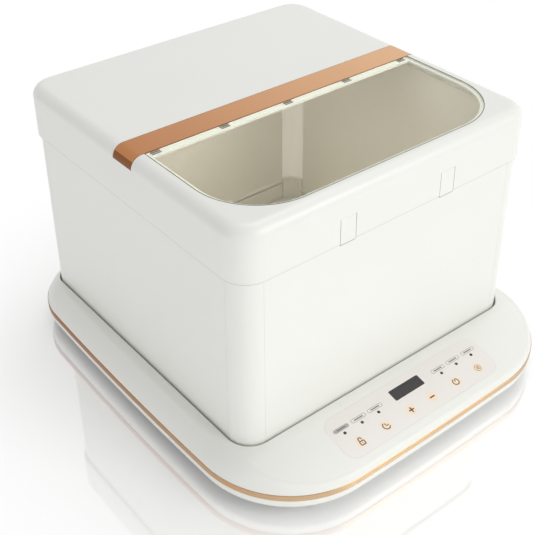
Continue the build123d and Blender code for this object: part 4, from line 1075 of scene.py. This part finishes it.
label_points = bpy.data.meshes.new("label_points")
label_spots = [on_panel(side * x, LABEL_ROW, 0.085) for side in (-1, 1) for x in LAMP_X]
label_points.from_pydata(label_spots, [], [])
labels = grow("label_outlines", label_points, label_tree(), finishes["grey_ink"])
outward_faces(labels.data)
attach(labels, "base")
print("label outlines:", len(labels.data.polygons), "faces at", len(label_spots), "places")

# %% [markdown]
# ## A plain studio
# The floor is a pale glossy sheet. Near the proofer it is a real surface that takes
# its shadow, and further out it fades to plain white for the camera, for mirrors and
# for clear plastic, so that no horizon shows.

# %% Floor
def floor_finish():
    finish, shader = new_finish("studio_floor", Roughness=0.04, IOR=3.4)
    tree, place = finish.node_tree, object_place(finish)
    skin = use_effect(finish, MOULDED, place, Light_Tone=tone(255, 255, 255), Deep_Tone=tone(253, 253, 253),
                      Drift_Scale=1.5, Grain_Scale=60.0, Roughness=0.04, Gloss_Change=0.01)
    wire(finish, skin.outputs["Tone"], shader.inputs["Base Color"])
    wire(finish, skin.outputs["Roughness"], shader.inputs["Roughness"])
    wire(finish, skin.outputs["Tone"], shader.inputs["Emission Color"])
    shader.inputs["Emission Strength"].default_value = 0.1
    far = use_effect(finish, SPOT, place, Centre=(0.0, 0.0, 0.0), Inner_Radius=0.22, Outer_Radius=0.47)
    rays = tree.nodes.new("ShaderNodeLightPath")
    seen = sums(tree, "ADD", rays.outputs["Is Camera Ray"], rays.outputs["Is Glossy Ray"], True)
    seen = sums(tree, "ADD", seen, rays.outputs["Is Transmission Ray"], True)
    white = tree.nodes.new("ShaderNodeEmission")
    mix = tree.nodes.new("ShaderNodeMixShader")
    away = sums(tree, "SUBTRACT", 1.0, far.outputs["Mask"])
    wire(finish, sums(tree, "MULTIPLY", away, seen), mix.inputs[0])
    wire(finish, shader.outputs[0], mix.inputs[1])
    wire(finish, white.outputs[0], mix.inputs[2])
    wire(finish, mix.outputs[0], tree.nodes["Material Output"].inputs["Surface"])
    return finish


floor_mesh = bpy.data.meshes.new("studio_floor")
FLOOR = 4.0
floor_mesh.from_pydata([(-FLOOR, -FLOOR, 0), (FLOOR, -FLOOR, 0), (FLOOR, FLOOR, 0), (-FLOOR, FLOOR, 0)], [], [(0, 1, 2, 3)])
floor = add_piece("studio_floor", floor_mesh, floor_finish())
print("floor", 2 * FLOOR, "m wide")

# %% [markdown]
# ## Light
# A big soft panel on the front right is the main light, one overhead lights the lid,
# and a weak one fills the left side, which stays a little darker. A soft spot lifts
# the base's near corner. The real walls let
# some light through, so a very weak warm lamp under the closed half of the lid lights
# the chamber. The world gives a low even light and looks white to the camera.

# %% Lamps and world
def soft_panel(name, place, target, size, power):
    lamp = bpy.data.lights.new(name, "AREA")
    lamp.shape = "DISK"
    lamp.size = size
    lamp.energy = power
    holder = bpy.data.objects.new(name, lamp)
    holder.location = place
    holder.rotation_euler = (Vector(target) - Vector(place)).to_track_quat("-Z", "Y").to_euler()
    bpy.context.scene.collection.objects.link(holder)
    return holder


soft_panel("front_right_light", (1.15, -2.3, 1.4), (0.0, 0.0, 0.05), 1.5, 23.5)
soft_panel("top_light", (0.8, 0.3, 2.4), (0.0, 0.0, 0.2), 1.6, 14.5)
soft_panel("left_light", (-2.2, -1.2, 0.5), (0.0, 0.0, 0.0), 1.6, 6.0)

corner_lamp = bpy.data.lights.new("corner_light", "SPOT")
corner_lamp.energy = 10.0
corner_lamp.shadow_soft_size = 0.25
corner_lamp.spot_size = math.radians(24.0)
corner_lamp.spot_blend = 1.0
corner_light = bpy.data.objects.new("corner_light", corner_lamp)
corner_light.location = (-0.9, -1.6, 0.5)
corner_light.rotation_euler = (Vector((-0.13, -0.17, 0.03)) - corner_light.location).to_track_quat("-Z", "Y").to_euler()
bpy.context.scene.collection.objects.link(corner_light)

inside = soft_panel("chamber_light", (0.0, 0.1, 0.25), (0.0, 0.1, 0.0), 0.12, 0.055)
inside.data.color = (1.0, 0.97, 0.92)

world = bpy.data.worlds.new("studio_air")
bpy.context.scene.world = world
world.use_nodes = True
air = world.node_tree
level = air.nodes["Background"]
level.inputs["Color"].default_value = (1.0, 1.0, 1.0, 1.0)
rays = air.nodes.new("ShaderNodeLightPath")
seen = sums(air, "ADD", rays.outputs["Is Camera Ray"], rays.outputs["Is Transmission Ray"], True)
seen = sums(air, "ADD", seen, rays.outputs["Is Glossy Ray"], True)
AIR_LEVEL = 0.5
air.links.new(sums(air, "ADD", sums(air, "MULTIPLY", seen, 1.0 - AIR_LEVEL), AIR_LEVEL), level.inputs["Strength"])
print("air level", AIR_LEVEL)

# %% [markdown]
# ## The camera
# The camera stands to the left in front of the proofer and looks down on it. Its
# place and lens were found from the edges of the lid and the base in the photograph.
# The frame was cut off-centre from a larger picture, which is what the lens shift says.

# %% Camera
IMAGE_SIZE = (533, 535)
FOCAL_PIXELS, CENTRE_PIXELS = 1032.4, (282.33, 189.42)
camera_data = bpy.data.cameras.new("camera")
camera = bpy.data.objects.new("camera", camera_data)
bpy.context.scene.collection.objects.link(camera)
camera.location = (-0.57427, -0.69454, 0.74746)
camera.rotation_euler = Vector((0.5369, 0.6575, -0.5286)).to_track_quat("-Z", "Y").to_euler()
camera_data.sensor_width = 36.0
camera_data.lens = FOCAL_PIXELS * camera_data.sensor_width / max(IMAGE_SIZE)
camera_data.shift_x = (IMAGE_SIZE[0] / 2 - CENTRE_PIXELS[0]) / max(IMAGE_SIZE)
camera_data.shift_y = (CENTRE_PIXELS[1] - IMAGE_SIZE[1] / 2) / max(IMAGE_SIZE)
bpy.context.scene.camera = camera
bpy.context.scene.view_settings.view_transform = "Standard"
print("lens", round(camera_data.lens, 2), "mm, shift", round(camera_data.shift_x, 4), round(camera_data.shift_y, 4))
